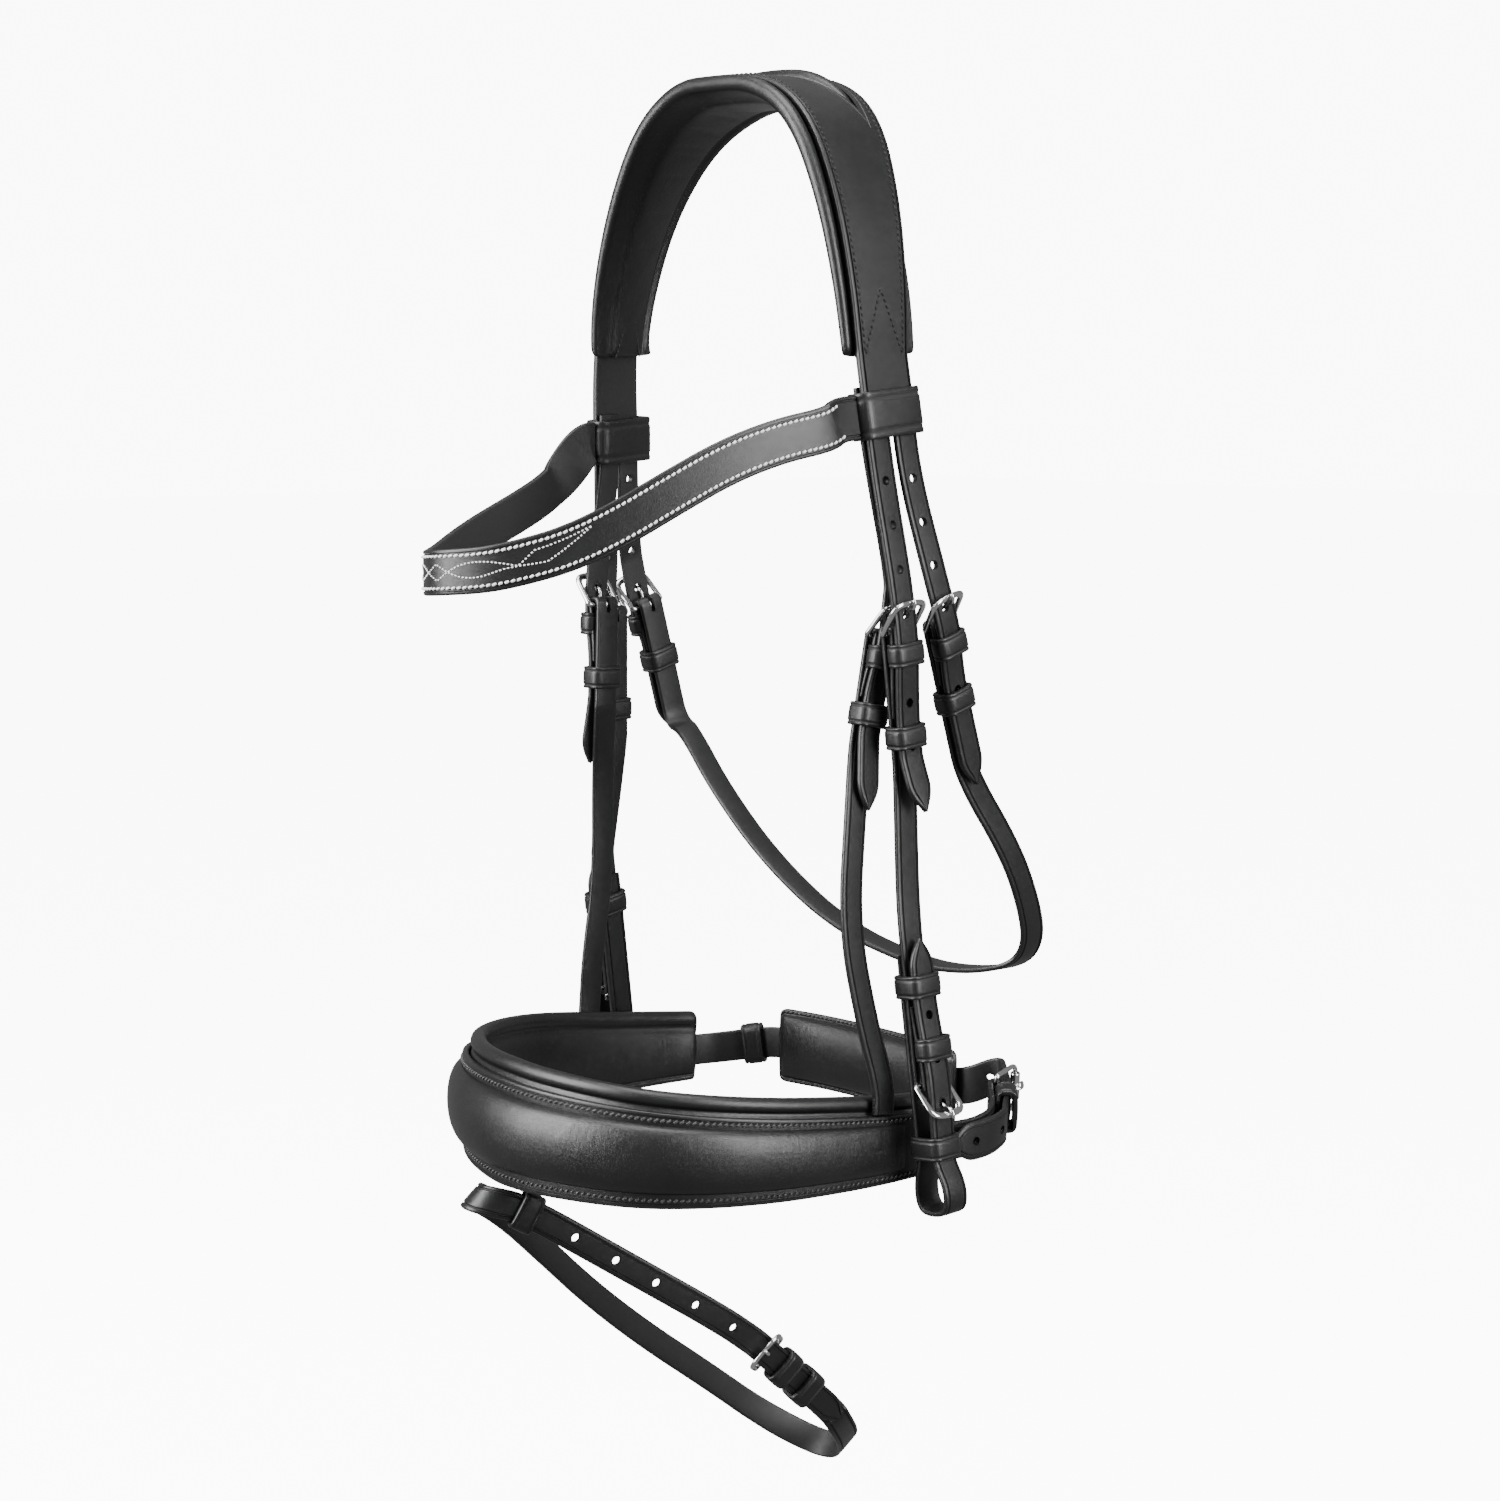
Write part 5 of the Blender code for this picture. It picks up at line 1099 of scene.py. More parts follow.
# %% [markdown]
# ### Cheekpieces and bit loops
# A cheekpiece is folded round a buckle at both ends. The billet below it lies behind, makes the
# loop that holds the bit, and comes up through its own loop keeper and buckle to a tip at the top.

# %% Cheekpieces and billets
BIT_LOOP_L, BIT_LOOP_HALF, LOOP_KEEPER_AT, BILLET_START = 56.0 * mm, 8.6 * mm, 27.5 * mm, 56.0 * mm
CHEEK_BEND = {"near": (1.03, -0.030, -0.69), "far": (-1.0, -0.072, -0.69)}


def turned_over(rows):
    """The same corners from the other end, with the strap's outer side still outside."""
    return [(point, -side) for point, side in reversed(rows)]


def dress_cheek(name, cheek, bit):
    rows = cheek.fold() + cheek.run(CHEEK_KEEPER_AT) + [(spot(CHEEK_BEND[name]), cheek.s)]
    rows += turned_over([bit.corner(-share * BILLET_START, -FOLD_R) for share in (1.04, 1.2)])
    rows += turned_over(bit.fold())
    node = f"{name}_cheekpiece"
    strap(node, rows, skive=(CHEEK_CHAPE / 2, BIT_CHAPE / 2), flesh=0.0,
          cut=lambda route: [cheek.slot_tool(), bit.slot_tool()])
    fixed_keeper(node, f"{name}_cheek_fixed_keeper", cheek, FIXED_KEEPER_AT)
    fixed_keeper(node, f"{name}_bit_fixed_keeper", bit, BIT_FIXED_KEEPER_AT)
    back, fore = -FOLD_R - STRAP_T - GAP, TAIL_RISE - STRAP_T / 2
    wide, deep = BIT_LOOP_HALF, BIT_LOOP_L
    loop = [(-BILLET_START, back), (-0.2 * BILLET_START, back), (0.56 * deep, back),
            (0.62 * deep, back), (0.78 * deep, -wide), (0.93 * deep, -wide), (deep, -0.6 * wide),
            (deep, 0.6 * wide), (0.93 * deep, wide), (0.78 * deep, wide), (0.62 * deep, fore),
            (0.56 * deep, fore)]
    rows = [bit.corner(t, n) for t, n in loop] + bit.tail(BIT_TIP, BIT_KEEPER_AT)[1:]
    strap(f"{name}_bit_billet", rows, tip=True, skive=(STRAP_W, 0.0), flesh=0.6,
          cut=lambda route: holes(route, bit, 0, 2))
    low = back - STRAP_T / 2 - KEEPER_GAP
    buckle_up(f"{name}_bit", bit, BIT_KEEPER_AT, low=low)
    band(f"{name}_bit_loop_keeper", bit, LOOP_KEEPER_AT, low - KEEPER_GAP,
         fore + STRAP_T / 2 + 3.2 * KEEPER_GAP, wall=KEEPER_T - KEEPER_GAP / 2)


dress_cheek("near", near[0], near[3])
dress_cheek("far", far[0], far[3])
print("cheekpieces and bit loops on both sides")

# %% [markdown]
# ### Throatlatch
# One long strap from the near buckle under the jaw to the far one. It hangs in its own plane, so
# the route's corners carry a width direction that turns with the horse's jaw.

# %% Throatlatch
THROAT_ROUTE = (
    (1.01, 0.330, -0.672), (1.00, 0.400, -0.724), (0.95, 0.446, -0.762), (0.85, 0.448, -0.786),
    (0.66, 0.386, -0.794), (0.44, 0.318, -0.789), (0.08, 0.224, -0.758), (-0.29, 0.168, -0.701),
    (-0.62, 0.150, -0.638), (-0.85, 0.152, -0.586))
rows = near[1].fold() + near[1].run(THROAT_KEEPER_AT["near"])
rows.append(near[1].corner(-0.95 * THROAT_TIP["near"], -FOLD_R))
rows += [(spot(row), Y_AXIS) for row in THROAT_ROUTE]
lower = far[1].run(THROAT_KEEPER_AT["far"]) + [far[1].corner(-0.95 * THROAT_TIP["far"], -FOLD_R)]
throat = strap("throatlatch", rows + turned_over(far[1].fold() + lower),
               skive=(SHORT_CHAPE / 2, SHORT_CHAPE / 2), flesh=0.3,
               cut=lambda route: [near[1].slot_tool(), far[1].slot_tool()])
for label, seat in (("near", near[1]), ("far", far[1])):
    fixed_keeper("throatlatch", f"{label}_throat_fixed_keeper", seat, FIXED_KEEPER_AT)
print("throatlatch", round(throat.total / mm), "mm long")

# %% [markdown]
# ## The noseband
# The front is a flat board with a padded roll sewn along its middle, and behind it lies a soft
# lining whose top edge is a roll of its own. The board and the roll get taller towards the front.
# The roll starts a little flat and is filled with its base pinned.

# %% Noseband board and roll
NOSE_ROUTE = (
    (-0.960, 0.200, -0.911), (-0.985, 0.120, -0.910), (-0.990, 0.030, -0.908),
    (-0.985, -0.100, -0.905), (-0.965, -0.240, -0.900), (-0.915, -0.390, -0.896),
    (-0.815, -0.535, -0.895), (-0.64, -0.660, -0.896), (-0.36, -0.742, -0.900),
    (0.0, -0.780, -0.904), (0.36, -0.745, -0.907), (0.64, -0.668, -0.911),
    (0.815, -0.540, -0.915), (0.915, -0.390, -0.919), (0.965, -0.240, -0.922),
    (0.985, -0.100, -0.925), (0.995, 0.030, -0.926), (1.005, 0.115, -0.926))
NOSE_FRONT_H, NOSE_END_H, NOSE_T = 47.0 * mm, 26.0 * mm, 3.0 * mm
ROLL_RISE, ROLL_END_RISE, LAP_L = 9.0 * mm, 2.0 * mm, 22.0 * mm
LINING_T, LINING_EDGE, LINING_ROLL_R = 8.0 * mm, 1.2 * mm, 4.0 * mm
nose = Route([(spot(row), Z_AXIS) for row in NOSE_ROUTE])


def nose_sizes(d):
    """Share from the front, 0, to the ends, 1, with the board's height there."""
    share = np.minimum(1, np.abs(2 * d / nose.total - 1))
    return share, lerp(NOSE_FRONT_H, NOSE_END_H, share ** 1.2)


d = nose.stations(2.5 * mm)
a, b = strap_profile(nose_sizes(d)[1] / 2, np.full(len(d), NOSE_T / 2), 0.5)
board = skin("dressed_noseband_front", nose.lay(d, a, b + NOSE_T / 2), BAND_LEATHER,
             marks={"trim": TRIM, "flesh": FLESH})
wear(board, "noseband_front", BAND_LEATHER)

ROLL_MIDDLE, ROLL_HALF = 0.015, 0.355
d = np.linspace(1.15 * LAP_L, nose.total - 1.15 * LAP_L, 220)
share, h = nose_sizes(d)
rise = lerp(ROLL_RISE, ROLL_END_RISE, share ** 1.2)
rise = rise * np.clip((nose.total / 2 * (1 - share) - LAP_L) / LAP_L, 0, 1) + 0.4 * mm
base = NOSE_T - 0.4 * mm
columns = [((ROLL_MIDDLE + ROLL_HALF * 1.03) * h, base, 1.0)]
columns += [((ROLL_MIDDLE + ROLL_HALF * cos(radians(k))) * h,
             base + rise * 0.9 * sin(radians(k)) ** 0.8, 0.0) for k in range(8, 173, 12)]
columns += [((ROLL_MIDDLE + ROLL_HALF * k) * h, base - low, 1.0)
            for k, low in ((-1.03, 0.0), (-0.5, 0.2 * mm), (0.5, 0.2 * mm))]
pad("noseband_roll", nose, d, columns, 0.9 * mm, node="noseband_front")

# %% [markdown]
# ### Noseband stitching and lining
# A close row of black stitches runs above and below the roll. The lining is one padded skin with
# channels under the top roll and above the lower edge.

# %% Noseband stitches and lining
d = np.linspace(0.4 * LAP_L, nose.total - 0.4 * LAP_L, 500)
for label, place in (("upper", 0.425), ("lower", -0.405)):
    seam(f"noseband_{label}_stitches", nose, d, place * nose_sizes(d)[1], NOSE_T,
         "noseband_front", BLACK_THREAD, "noseband")
d = np.linspace(0, nose.total, 260)
share, h = nose_sizes(d)
close = closing(d, 3 * mm, 0.6)
top, low, mid, T = h / 2 - LINING_EDGE, -h / 2 + LINING_EDGE / 2, -GAP - LINING_T / 2, LINING_T
roll = LINING_ROLL_R * close * 0.94
centre = top + LINING_EDGE + GAP + LINING_ROLL_R
columns = [(low, mid + 0.2 * T * close, 1.0)]
columns += [(place, mid + 0.5 * T * close, 1.0)
            for place in (low + LINING_EDGE, 0.5 * low, 0.5 * top, top)]
columns += [(centre - roll * cos(radians(k)), mid + roll * sin(radians(k)), 0.0)
            for k in (35, 65, 95, 125, 155, 185, 215, 245, 275, 305, 330)]
columns += [(top + 0.3 * mm, mid - 0.22 * T * close, 1.0)]
columns += [(k * (top if way > 0 else low), mid - deep * T * close, pin)
            for way, k, deep, pin in (
                (1, 0.82, 0.40, 0.0), (1, 0.5, 0.48, 0.0), (1, 0.15, 0.5, 0.0),
                (-1, 0.2, 0.5, 0.0), (-1, 0.5, 0.46, 0.0), (-1, 0.66, 0.38, 0.0),
                (-1, 0.74, 0.22, 1.0), (-1, 0.83, 0.36, 0.0), (-1, 0.98, 0.28, 0.0))]
pad("dressed_noseband_lining", nose, d, columns, 0.8 * mm)

# %% [markdown]
# ### Hangers
# The hangers hold the noseband up. Each is folded round its own small buckle inside the cheekpiece,
# and its foot is sewn to the noseband's top edge.

# %% Hangers
HANGER_ROUTE = {"near": ((0.915, -0.14, -0.62), (0.95, -0.178, -0.72), (0.985, -0.135, -0.81)),
                "far": ((-0.93, -0.105, -0.62), (-0.955, -0.095, -0.72), (-0.98, -0.12, -0.80))}
HANGER_FOOT = {"near": -0.095, "far": -0.135}


def dress_hanger(name, seat):
    sign = SIDES[name]
    points = nose.sample(nose.lengths)
    off = np.abs(points[:, 1] - HANGER_FOOT[name] * REACH) + 1.0 * (points[:, 0] * sign < 0)
    foot = nose.lengths[np.argmin(off)]
    point, _, up, out = nose.frame(foot)
    top = nose_sizes(foot)[1] / 2 + 4 * GAP
    rows = seat.fold() + seat.run(HANGER_KEEPER_AT)
    rows += [(spot(row), Y_AXIS * sign) for row in HANGER_ROUTE[name]]
    rows += [(point + up * (top + k * HANGER_W) + out * (NOSE_T / 2 + GAP), Y_AXIS * sign)
             for k in (1, 0)]
    node = f"{name}_hanger"
    strap(node, rows, HANGER_W, skive=(SHORT_CHAPE / 2, 0.0), flesh=0.0,
          cut=lambda route: [seat.slot_tool()])
    fixed_keeper(node, f"{name}_hanger_fixed_keeper", seat, FIXED_KEEPER_AT)


dress_hanger("near", near[2])
dress_hanger("far", far[2])
print("two hangers")

# %% [markdown]
# ## The browband
# A curved band with a loop at each end that the headpiece passes through. Its plan is a soft
# rectangle, x as a power of the sine and y as a power of the cosine of an angle, and its height
# dips in a wave. Its creases are faint, since the white stitches mark its edges.

# %% Browband
BROW_W, BROW_T, LOOP_L, LOOP_T, LOOP_ROOM = 19.0 * mm, 3.0 * mm, 20.0 * mm, 2.0 * mm, 1.0 * mm
BROW_PLAN_POWER, BROW_HALF, BROW_BACK, BROW_FRONT = 1.62, 0.985, -0.045, -0.98
BROW_NEAR = ((0.0, 0.407), (0.2, 0.404), (0.3, 0.397), (0.4, 0.386), (0.5, 0.366), (0.6, 0.339),
             (0.7, 0.313), (0.8, 0.296), (0.9, 0.287))
BROW_FAR = ((0.15, 0.409), (0.3, 0.411), (0.4, 0.408), (0.5, 0.399), (0.6, 0.388), (0.7, 0.376),
            (0.78, 0.365), (0.85, 0.353), (0.905, 0.339))
BROW_STRAIGHT = {"near": 10.0 * mm, "far": 6.0 * mm}


def brow_point(sign, share, height):
    angle, power = share * (pi / 2 - radians(8)), 2 / BROW_PLAN_POWER
    x = BROW_HALF * HALF_WIDTH * sin(angle) ** power
    return np.array([sign * x, lerp(BROW_BACK, BROW_FRONT, cos(angle) ** power) * REACH,
                     -height * DROP])


def brow_ends():
    """The loops round the crown's ends, and the band's first corners beside them."""
    ends = {}
    under, over = -(CROWN_T + 2 * GAP + STRAP_T / 2) - LOOP_ROOM, CROWN_T / 2 + LOOP_ROOM
    for name, d in (("near", 0.0), ("far", crown.total)):
        point, tangent, _, out = crown.frame(d)
        seat = Seat(point + out * (PAD_END_T + GAP + CROWN_T / 2), tangent * SIDES[name], out,
                    CROWN_END_W)
        band(f"{name}_browband_loop", seat, 0.0, under, over, length=LOOP_L, wall=LOOP_T,
             room=LOOP_ROOM, line_in=1.9, soft=2.8)
        fore = seat.s if seat.s[1] < 0 else -seat.s
        side = CROWN_END_W / 2 + LOOP_ROOM + LOOP_T + GAP
        middle = seat.at(0.0, (under + over) / 2)
        ends[name] = [(middle + fore * (side + k), seat.t) for k in (BROW_STRAIGHT[name], 0)]
    return ends


ends = brow_ends()
rows = ends["far"][::-1] + [(brow_point(-1, a, h), Z_AXIS) for a, h in BROW_FAR[::-1]]
rows += [(brow_point(1, a, h), Z_AXIS) for a, h in BROW_NEAR] + ends["near"]
brow = strap("browband", rows, BROW_W, BROW_T, finish=BAND_LEATHER, crease=0.15,
             longest=2.0 * mm)
print("browband", round(brow.total / mm), "mm long")

# %% [markdown]
# ### White stitching
# Two rows of thick white stitches follow the edges, and finer ones draw a small diamond at the
# middle, a lens on each side of it and an arrow outside that. The figure is a list of points, along
# the band from its middle and across it, with its mirror image for the other side.

# %% White stitching
FIGURE = {
    "diamond": ((0.0, 3.4), (5.5, 0.0), (0.0, -3.4)),
    "upper_lens": ((5.5, 0.0), (12.0, 3.2), (22.0, 3.6), (31.0, 1.0), (36.0, -1.2)),
    "lower_lens": ((5.5, 0.0), (12.0, -2.6), (20.0, -3.0), (29.0, -1.0), (36.0, -1.2)),
    "upper_arrow": ((36.0, -1.2), (44.0, 3.4), (70.0, 4.6)),
    "lower_arrow": ((36.0, -1.2), (48.0, -2.4), (70.0, 4.6))}
BROW_EDGE_IN = 2.9 * mm
front = brow.lengths[np.argmin(np.abs(brow.sample(brow.lengths)[:, 0]))]
d = np.linspace(LOOP_L * 0.5, brow.total - LOOP_L * 0.5, 600)
for label, way in (("upper", 1), ("lower", -1)):
    seam(f"browband_{label}_stitches", brow, d, way * (BROW_W / 2 - BROW_EDGE_IN), BROW_T / 2,
         "browband", WHITE_THREAD, "browband")
for label, places in FIGURE.items():
    smooth = cut_corners(np.array(places) * mm, 3 if "lens" in label else 0)
    if "lens" not in label:
        smooth = read_off(np.linspace(0, len(places) - 1, 40), range(len(places)), smooth)
    for side, way in (("near", 1), ("far", -1)):
        seam(f"browband_{side}_{label}_stitches", brow, front + way * smooth[:, 0], smooth[:, 1],
             BROW_T / 2, "browband", WHITE_THREAD, "figure")
print("browband stitched")

# %% [markdown]
# ## The crank
# Behind the chin the noseband closes with a crank: a short strap with a roller buckle on the near
# end and a long one on the far end, which runs over the outside of the chin pad, through the buckle
# and back on itself. The roller turns on the front bar.

# %% Crank straps
CRANK_SEAT, CRANK_CHAPE, CRANK_BEND = (0.885, 0.353, -0.9062), 18.0 * mm, 23.0 * mm
CRANK_LAP, ROLLER_GAP, ROLLER_T = 14.0 * mm, 0.25 * mm, 0.8 * mm
CHIN_PAD_H, CHIN_PAD_T = 36.0 * mm, 10.0 * mm
CHIN_PAD = ((-0.635, 0.350, -0.902), (-0.35, 0.376, -0.903), (0.0, 0.384, -0.905),
            (0.32, 0.378, -0.907), (0.575, 0.352, -0.909))
CHIN_KEEPER_AT, CHIN_KEEPER_ROOM = 50.0 * mm, 1.8 * mm
CHIN_STRAP = ((-0.90, 0.325, -0.909), (-0.80, 0.375, -0.905))
DOWN = -Z_AXIS
chin = Route([(spot(row), DOWN) for row in CHIN_PAD])
crank = Seat(spot(CRANK_SEAT), (-0.72, 0.64, 0.28), (0.66, 0.74, 0.0), CRANK_W, CRANK_CHAPE, 0.0,
             BAR_R + ROLLER_GAP + ROLLER_T)


def lapped(from_end, offset, inward=0.0):
    """A place on the noseband's outer face, a distance in from one of its ends."""
    point, tangent, _, out = nose.frame(inward if from_end == "far" else nose.total - inward)
    return point + out * offset, tangent


on_nose = NOSE_T + LIE_GAP + STRAP_T / 2
stack = TAIL_LOW + FOLD_R + 2 * LIE_GAP
end, run = lapped("near", on_nose)
leave = end + run * CRANK_LAP
rows = crank.fold() + [crank.corner(-CRANK_BEND, -FOLD_R), (leave, DOWN), (end, DOWN),
                       (lapped("near", on_nose, CRANK_LAP)[0], DOWN)]
strap("crank_buckle_strap", rows, CRANK_W, skive=(CRANK_CHAPE / 2, 0.0), flesh=0.0,
      cut=lambda route: [crank.slot_tool()])
fixed_keeper("crank_buckle_strap", "crank_fixed_keeper", crank, FIXED_KEEPER_AT, low=0.3 * FOLD_R)
crank.buckle("crank_buckle")
crank.tongue("crank_tongue")
far_end, far_run = lapped("far", on_nose)
rows = [(lapped("far", on_nose, CRANK_LAP)[0], DOWN), (far_end, DOWN),
        (far_end - far_run * CRANK_LAP, DOWN)]
rows += [(spot(row), DOWN) for row in CHIN_STRAP]
for share in (-0.02, 0.1, 0.25, 0.4, 0.55, 0.7, 0.85, 1.0):
    point, tangent, _, out = chin.frame(chin.total * max(share, 0.0))
    rows.append((point + out * (CHIN_PAD_T / 2 + 2 * LIE_GAP + STRAP_T / 2)
                 + tangent * min(share, 0.0) * chin.total, DOWN))
rows += crank.tail(CRANK_BEND, -CRANK_BEND, top=2.0 * FRAME_RUN)[:-4]
rows += [crank.corner(-0.87 * CRANK_BEND, TAIL_LOW),
         crank.corner(-CRANK_BEND - 0.45 * stack, TAIL_LOW)]
outward = np.cross(unit(leave - end), DOWN)
outward = outward * np.sign(outward[0])
beyond = unit(end - leave) * CRANK_LAP / 2
rows += [(leave + outward * (stack + GAP), DOWN), (end + beyond + outward * (stack + GAP), DOWN)]
wide = STRAP_W * 1.15 / CRANK_W
crank_route = strap("crank_strap", rows, CRANK_W, tip=True, flesh=0.5,
                    widths=lambda u: lerp(wide, 1.0, np.clip(4 * u - 1.4, 0, 1)),
                    cut=lambda route: holes(route, crank, 1, 3))
point, tangent, _, out = crank_route.frame(CHIN_KEEPER_AT)
reach = STRAP_T / 2 + CHIN_KEEPER_ROOM
band("chin_keeper", Seat(point, -tangent, out, STRAP_W * 1.15), 0.0, -reach, reach)
half = crank.frame_half() - FRAME_CORNER_R - ROLLER_GAP
inner, outer = BAR_R + ROLLER_GAP, BAR_R + ROLLER_GAP + ROLLER_T
bevel = 0.3 * mm
ends = np.array([-half, -half, bevel - half, -0.3 * half, 0.3 * half, half - bevel, half, half])
radii = np.array([inner, outer - bevel, outer, outer, outer, outer, outer - bevel, inner])
x, y = circle(32)
turn = x[:, None] * crank.t + y[:, None] * crank.n
roller = (crank.at(FRAME_RUN, FRAME_LIFT) + turn[None] * radii[:, None, None]
          + crank.s * ends[:, None, None])
wear(skin("dressed_crank_roller", roller, STEEL, ring=True), "crank_roller", STEEL)
print("crank strap", round(crank_route.total / mm), "mm long")

# %% [markdown]
# ### Chin pad
# A flat-backed pad with a stitched border and a filled middle on the chin's side.

# %% Chin pad
d = np.linspace(0, chin.total, 110)
crown_share = np.sin(pi * d / chin.total).clip(0) ** 0.5
w = CHIN_PAD_H / 2 * closing(d, 5 * mm, 0.86)
back, border = CHIN_PAD_T / 2, STRAP_T
flat = np.minimum(d, chin.total - d) < 3 * mm
fill = np.where(flat, 0.05, crown_share) * (CHIN_PAD_T - border) * 0.9
columns = [(s * w, back - 0.1 * mm, 1.0) for s in (-0.985, -0.5, 0.0, 0.5, 0.985)]
columns += [(w, back - 0.5 * border, 1.0), (0.985 * w, back - border, 1.0),
            (0.90 * w, back - border, 1.0), (0.86 * w, back - border + 0.3 * mm, 1.0)]
columns += [(s * w, back - border - fill * (1 - (s / 0.86) ** 2) ** 0.42, 0.0)
            for s in (0.78, 0.62, 0.42, 0.2, 0.0, -0.2, -0.42, -0.62, -0.78)]
columns += [(-0.86 * w, back - border + 0.3 * mm, 1.0), (-0.90 * w, back - border, 1.0),
            (-0.985 * w, back - border, 1.0), (-w, back - 0.5 * border, 1.0)]
pad("dressed_chin_pad", chin, d, columns, 1.0 * mm, channel_shade=0.0, held=6)
edge_in = 0.925 * CHIN_PAD_H / 2
d = np.linspace(3 * mm, chin.total - 3 * mm, 200)
for label, way in (("upper", -1), ("lower", 1)):
    seam(f"chin_pad_{label}_stitches", chin, d, way * edge_in, back - border, "chin_pad",
         BLACK_THREAD, "chin", facing=-1)
print("chin pad", round(chin.total / mm), "mm long")

# %% [markdown]
# ## The flash
# The flash is one strap that hangs in a leather loop under the noseband's front, goes round the
# muzzle and buckles on the near side. The whole loop can swing on the seam of its tab.

# %% Flash strap
FLASH_CHAPE, FLASH_TIP, FLASH_KEEPER_AT = 22.0 * mm, 60.0 * mm, -30.0 * mm
FLASH_TAB_H, FLASH_PITCH, FLASH_LOOP_ROOM = 0.8 * mm, 22.5 * mm, 0.6 * mm
FLASH_SEAT = (0.292, 0.677, -0.178)
FLASH_REAR = ((0.275, 0.925, -0.263), (0.16, 1.020, -0.295), (-0.02, 1.078, -0.317),
              (-0.20, 1.058, -0.315))
FLASH_FAR = ((-0.32, 0.94, -0.284), (-0.365, 0.778, -0.236), (-0.385, 0.574, -0.180),
             (-0.365, 0.393, -0.126), (-0.335, 0.247, -0.077), (-0.285, 0.090, -0.026))
FLASH_FRONT = ((-0.23, -0.020, 0.0), (-0.14, -0.058, 0.002), (-0.045, -0.035, 0.0))
lean, far_lean = unit(np.array([0.0, 0.56, 0.83])), unit(np.array([-0.25, 0.46, 0.85]))
point, _, up, _ = nose.frame(nose.total / 2)
under = point - Z_AXIS * (NOSE_FRONT_H / 2 + GAP)
tab_drop = FLASH_TAB_H + (STRAP_W / 2 + FLASH_LOOP_ROOM + KEEPER_T) * lean[2]
hang = under - Z_AXIS * tab_drop + Y_AXIS * lean[1] * STRAP_W / 3
seat = Seat(hang + spot(FLASH_SEAT), (0.03, -0.757, 0.653), (0.93, -0.30, -0.10), STRAP_W,
            FLASH_CHAPE)
sign = np.sign(seat.s[2])
lean = seat.s * sign
rows = seat.fold() + [seat.corner(-0.95 * FLASH_TIP, -FOLD_R)]
rows += [(hang + spot(row), lean * sign) for row in FLASH_REAR]
rows += [(hang + spot(row), far_lean * sign) for row in FLASH_FAR]
rows += [(hang + spot(row), lean * sign) for row in FLASH_FRONT]
top = seat.at(2.2 * FRAME_RUN, TAIL_RISE)
rows += [(lerp(hang, top, share), lean * sign) for share in (0.05, 0.5, 0.9)]
rows += seat.tail(FLASH_TIP, FLASH_KEEPER_AT)[1:]
flash = strap("flash_strap", rows, tip=True, skive=(FLASH_CHAPE / 2, 0.0), flesh=0.8,
              cut=lambda route: [seat.slot_tool()] + holes(route, seat, 5, 0, FLASH_PITCH))
fixed_keeper("flash_strap", "flash_fixed_keeper", seat, FIXED_KEEPER_AT)
buckle_up("flash", seat, FLASH_KEEPER_AT)
line = flash.sample(flash.lengths)
fore = np.flatnonzero(line[:, 1] < under[1] + KEEPER_L)
point, tangent, _, out = flash.frame(flash.lengths[fore[np.argmax(line[fore, 0])]])
loop_seat = Seat(point, -tangent, out, STRAP_W + 2 * (FLASH_LOOP_ROOM - KEEPER_GAP))
reach = STRAP_T / 2 + FLASH_LOOP_ROOM
band("flash_loop", loop_seat, 0.0, -reach, reach)
up = loop_seat.s * np.sign(loop_seat.s[2])
crest = loop_seat.place + up * (STRAP_W / 2 + FLASH_LOOP_ROOM + KEEPER_T / 2)
hinge = np.array([crest[0], nose.frame(nose.total / 2)[0][1] + LINING_T / 4,
                  under[2] + LINING_EDGE / 2 - KEEPER_T / 2])
way = unit(crest - hinge)
across, length = np.cross(way, X_AXIS), np.linalg.norm(crest - hinge)
x, y = circle(24)
oval_x = np.sign(x) * np.abs(x) ** 0.4 * KEEPER_L / 3
oval_n = np.sign(y) * np.abs(y) ** 0.6 * KEEPER_T / 2
rows = [hinge + way * (length * s) + (X_AXIS * oval_x[:, None] + across * oval_n[:, None]) * k
        for s, k in ((-0.04, 0.6), (0.0, 0.9), (0.15, 1.0), (0.6, 1.0), (1.0, 1.0))]
wear(skin("flash_loop_tab", np.array(rows), STRAP_LEATHER, marks={"trim": 0.0, "flesh": 0.0}),
     "flash_loop", STRAP_LEATHER, stands_for=False)
print("flash strap", round(flash.total / mm), "mm long")

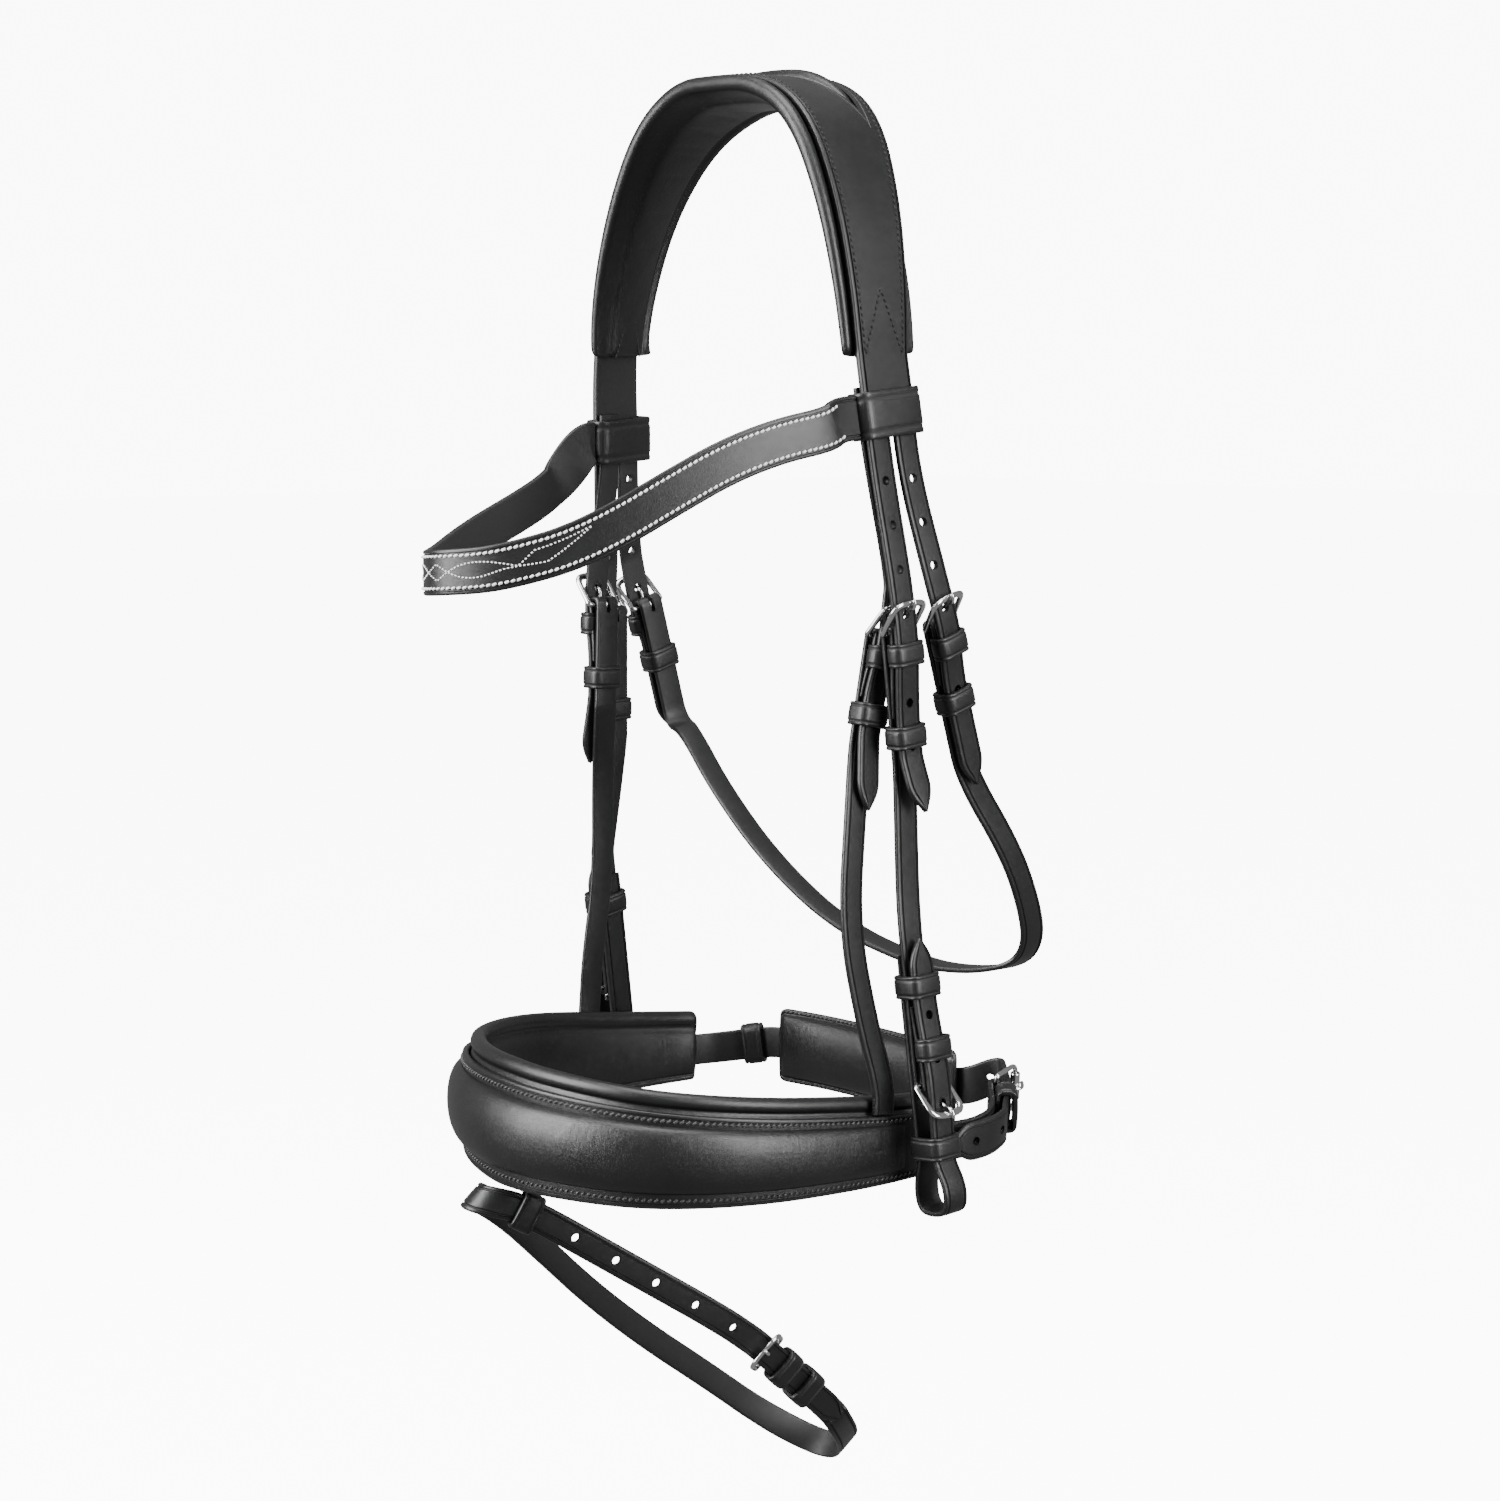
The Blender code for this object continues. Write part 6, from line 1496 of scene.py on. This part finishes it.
# %% [markdown]
# ## Studio
# The photograph is a packshot on white: soft light from the left and the right with a little from
# above. Black leather shows mostly reflections, so the size and place of the lights draw the satin
# bands along each strap. The paper behind and below is lit by itself: it looks white to the camera
# and sends only a little light to the leather, since a white room would turn the black to grey.

# %% Floor and light
FLOOR_DROP, PAPER_HALF = 60 * mm, 12.0


def light(name, place, size, power, aim=(0.0, -0.03, -0.28)):
    away = unit(np.array(place) - np.array(aim))
    side = unit(np.cross(Z_AXIS, away))
    lamp = stand(name, bpy.data.lights.new(name, "AREA"), side, np.cross(away, side), away, place)
    lamp.data.shape, lamp.data.size, lamp.data.size_y = "RECTANGLE", *size
    lamp.data.energy = power


def around(azimuth, height, distance):
    """A place round the bridle: azimuth 0 is at the camera, and grows to the camera's right."""
    turn = TURN + radians(azimuth)
    return (distance * sin(turn), -distance * cos(turn), height)


light("left", around(-66, 0.35, 1.5), (0.8, 1.7), 85)
light("right", around(50, 0.25, 1.6), (0.6, 1.5), 48)
light("top", (0.1, -0.1, 1.2), (1.0, 1.0), 30)
world = bpy.data.worlds.new("studio")
bpy.context.scene.world = world
world.use_nodes = True
backdrop = world.node_tree.nodes["Background"]
backdrop.inputs["Color"].default_value = (1.0, 1.0, 1.0, 1.0)
seen = world.node_tree.nodes.new("ShaderNodeLightPath")
level_of = world.node_tree.nodes.new("ShaderNodeMapRange")
level_of.inputs["To Min"].default_value, level_of.inputs["To Max"].default_value = 0.30, 10.0
world.node_tree.links.new(seen.outputs["Is Camera Ray"], level_of.inputs["Value"])
world.node_tree.links.new(level_of.outputs["Result"], backdrop.inputs["Strength"])
paper = Finish("lit studio paper", "leather", emission_strength=9.3)
paper.paint(base_color=paper.blend(paper.noise(3.0), (0.86, 0.86, 0.86), (0.90, 0.90, 0.90)),
            roughness=0.85 + paper.noise(12.0) * 0.1, emission_color=(1.0, 1.0, 1.0, 1.0))
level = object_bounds()[0][2] - FLOOR_DROP
corners = [(x * PAPER_HALF, y * PAPER_HALF, level)
           for x, y in ((-1, -1), (1, -1), (1, 1), (-1, 1))]
floor = new_piece("floor", corners, [(0, 1, 2, 3)], paper)
floor.visible_diffuse = floor.visible_glossy = False
print("floor at", round(level / mm), "mm")
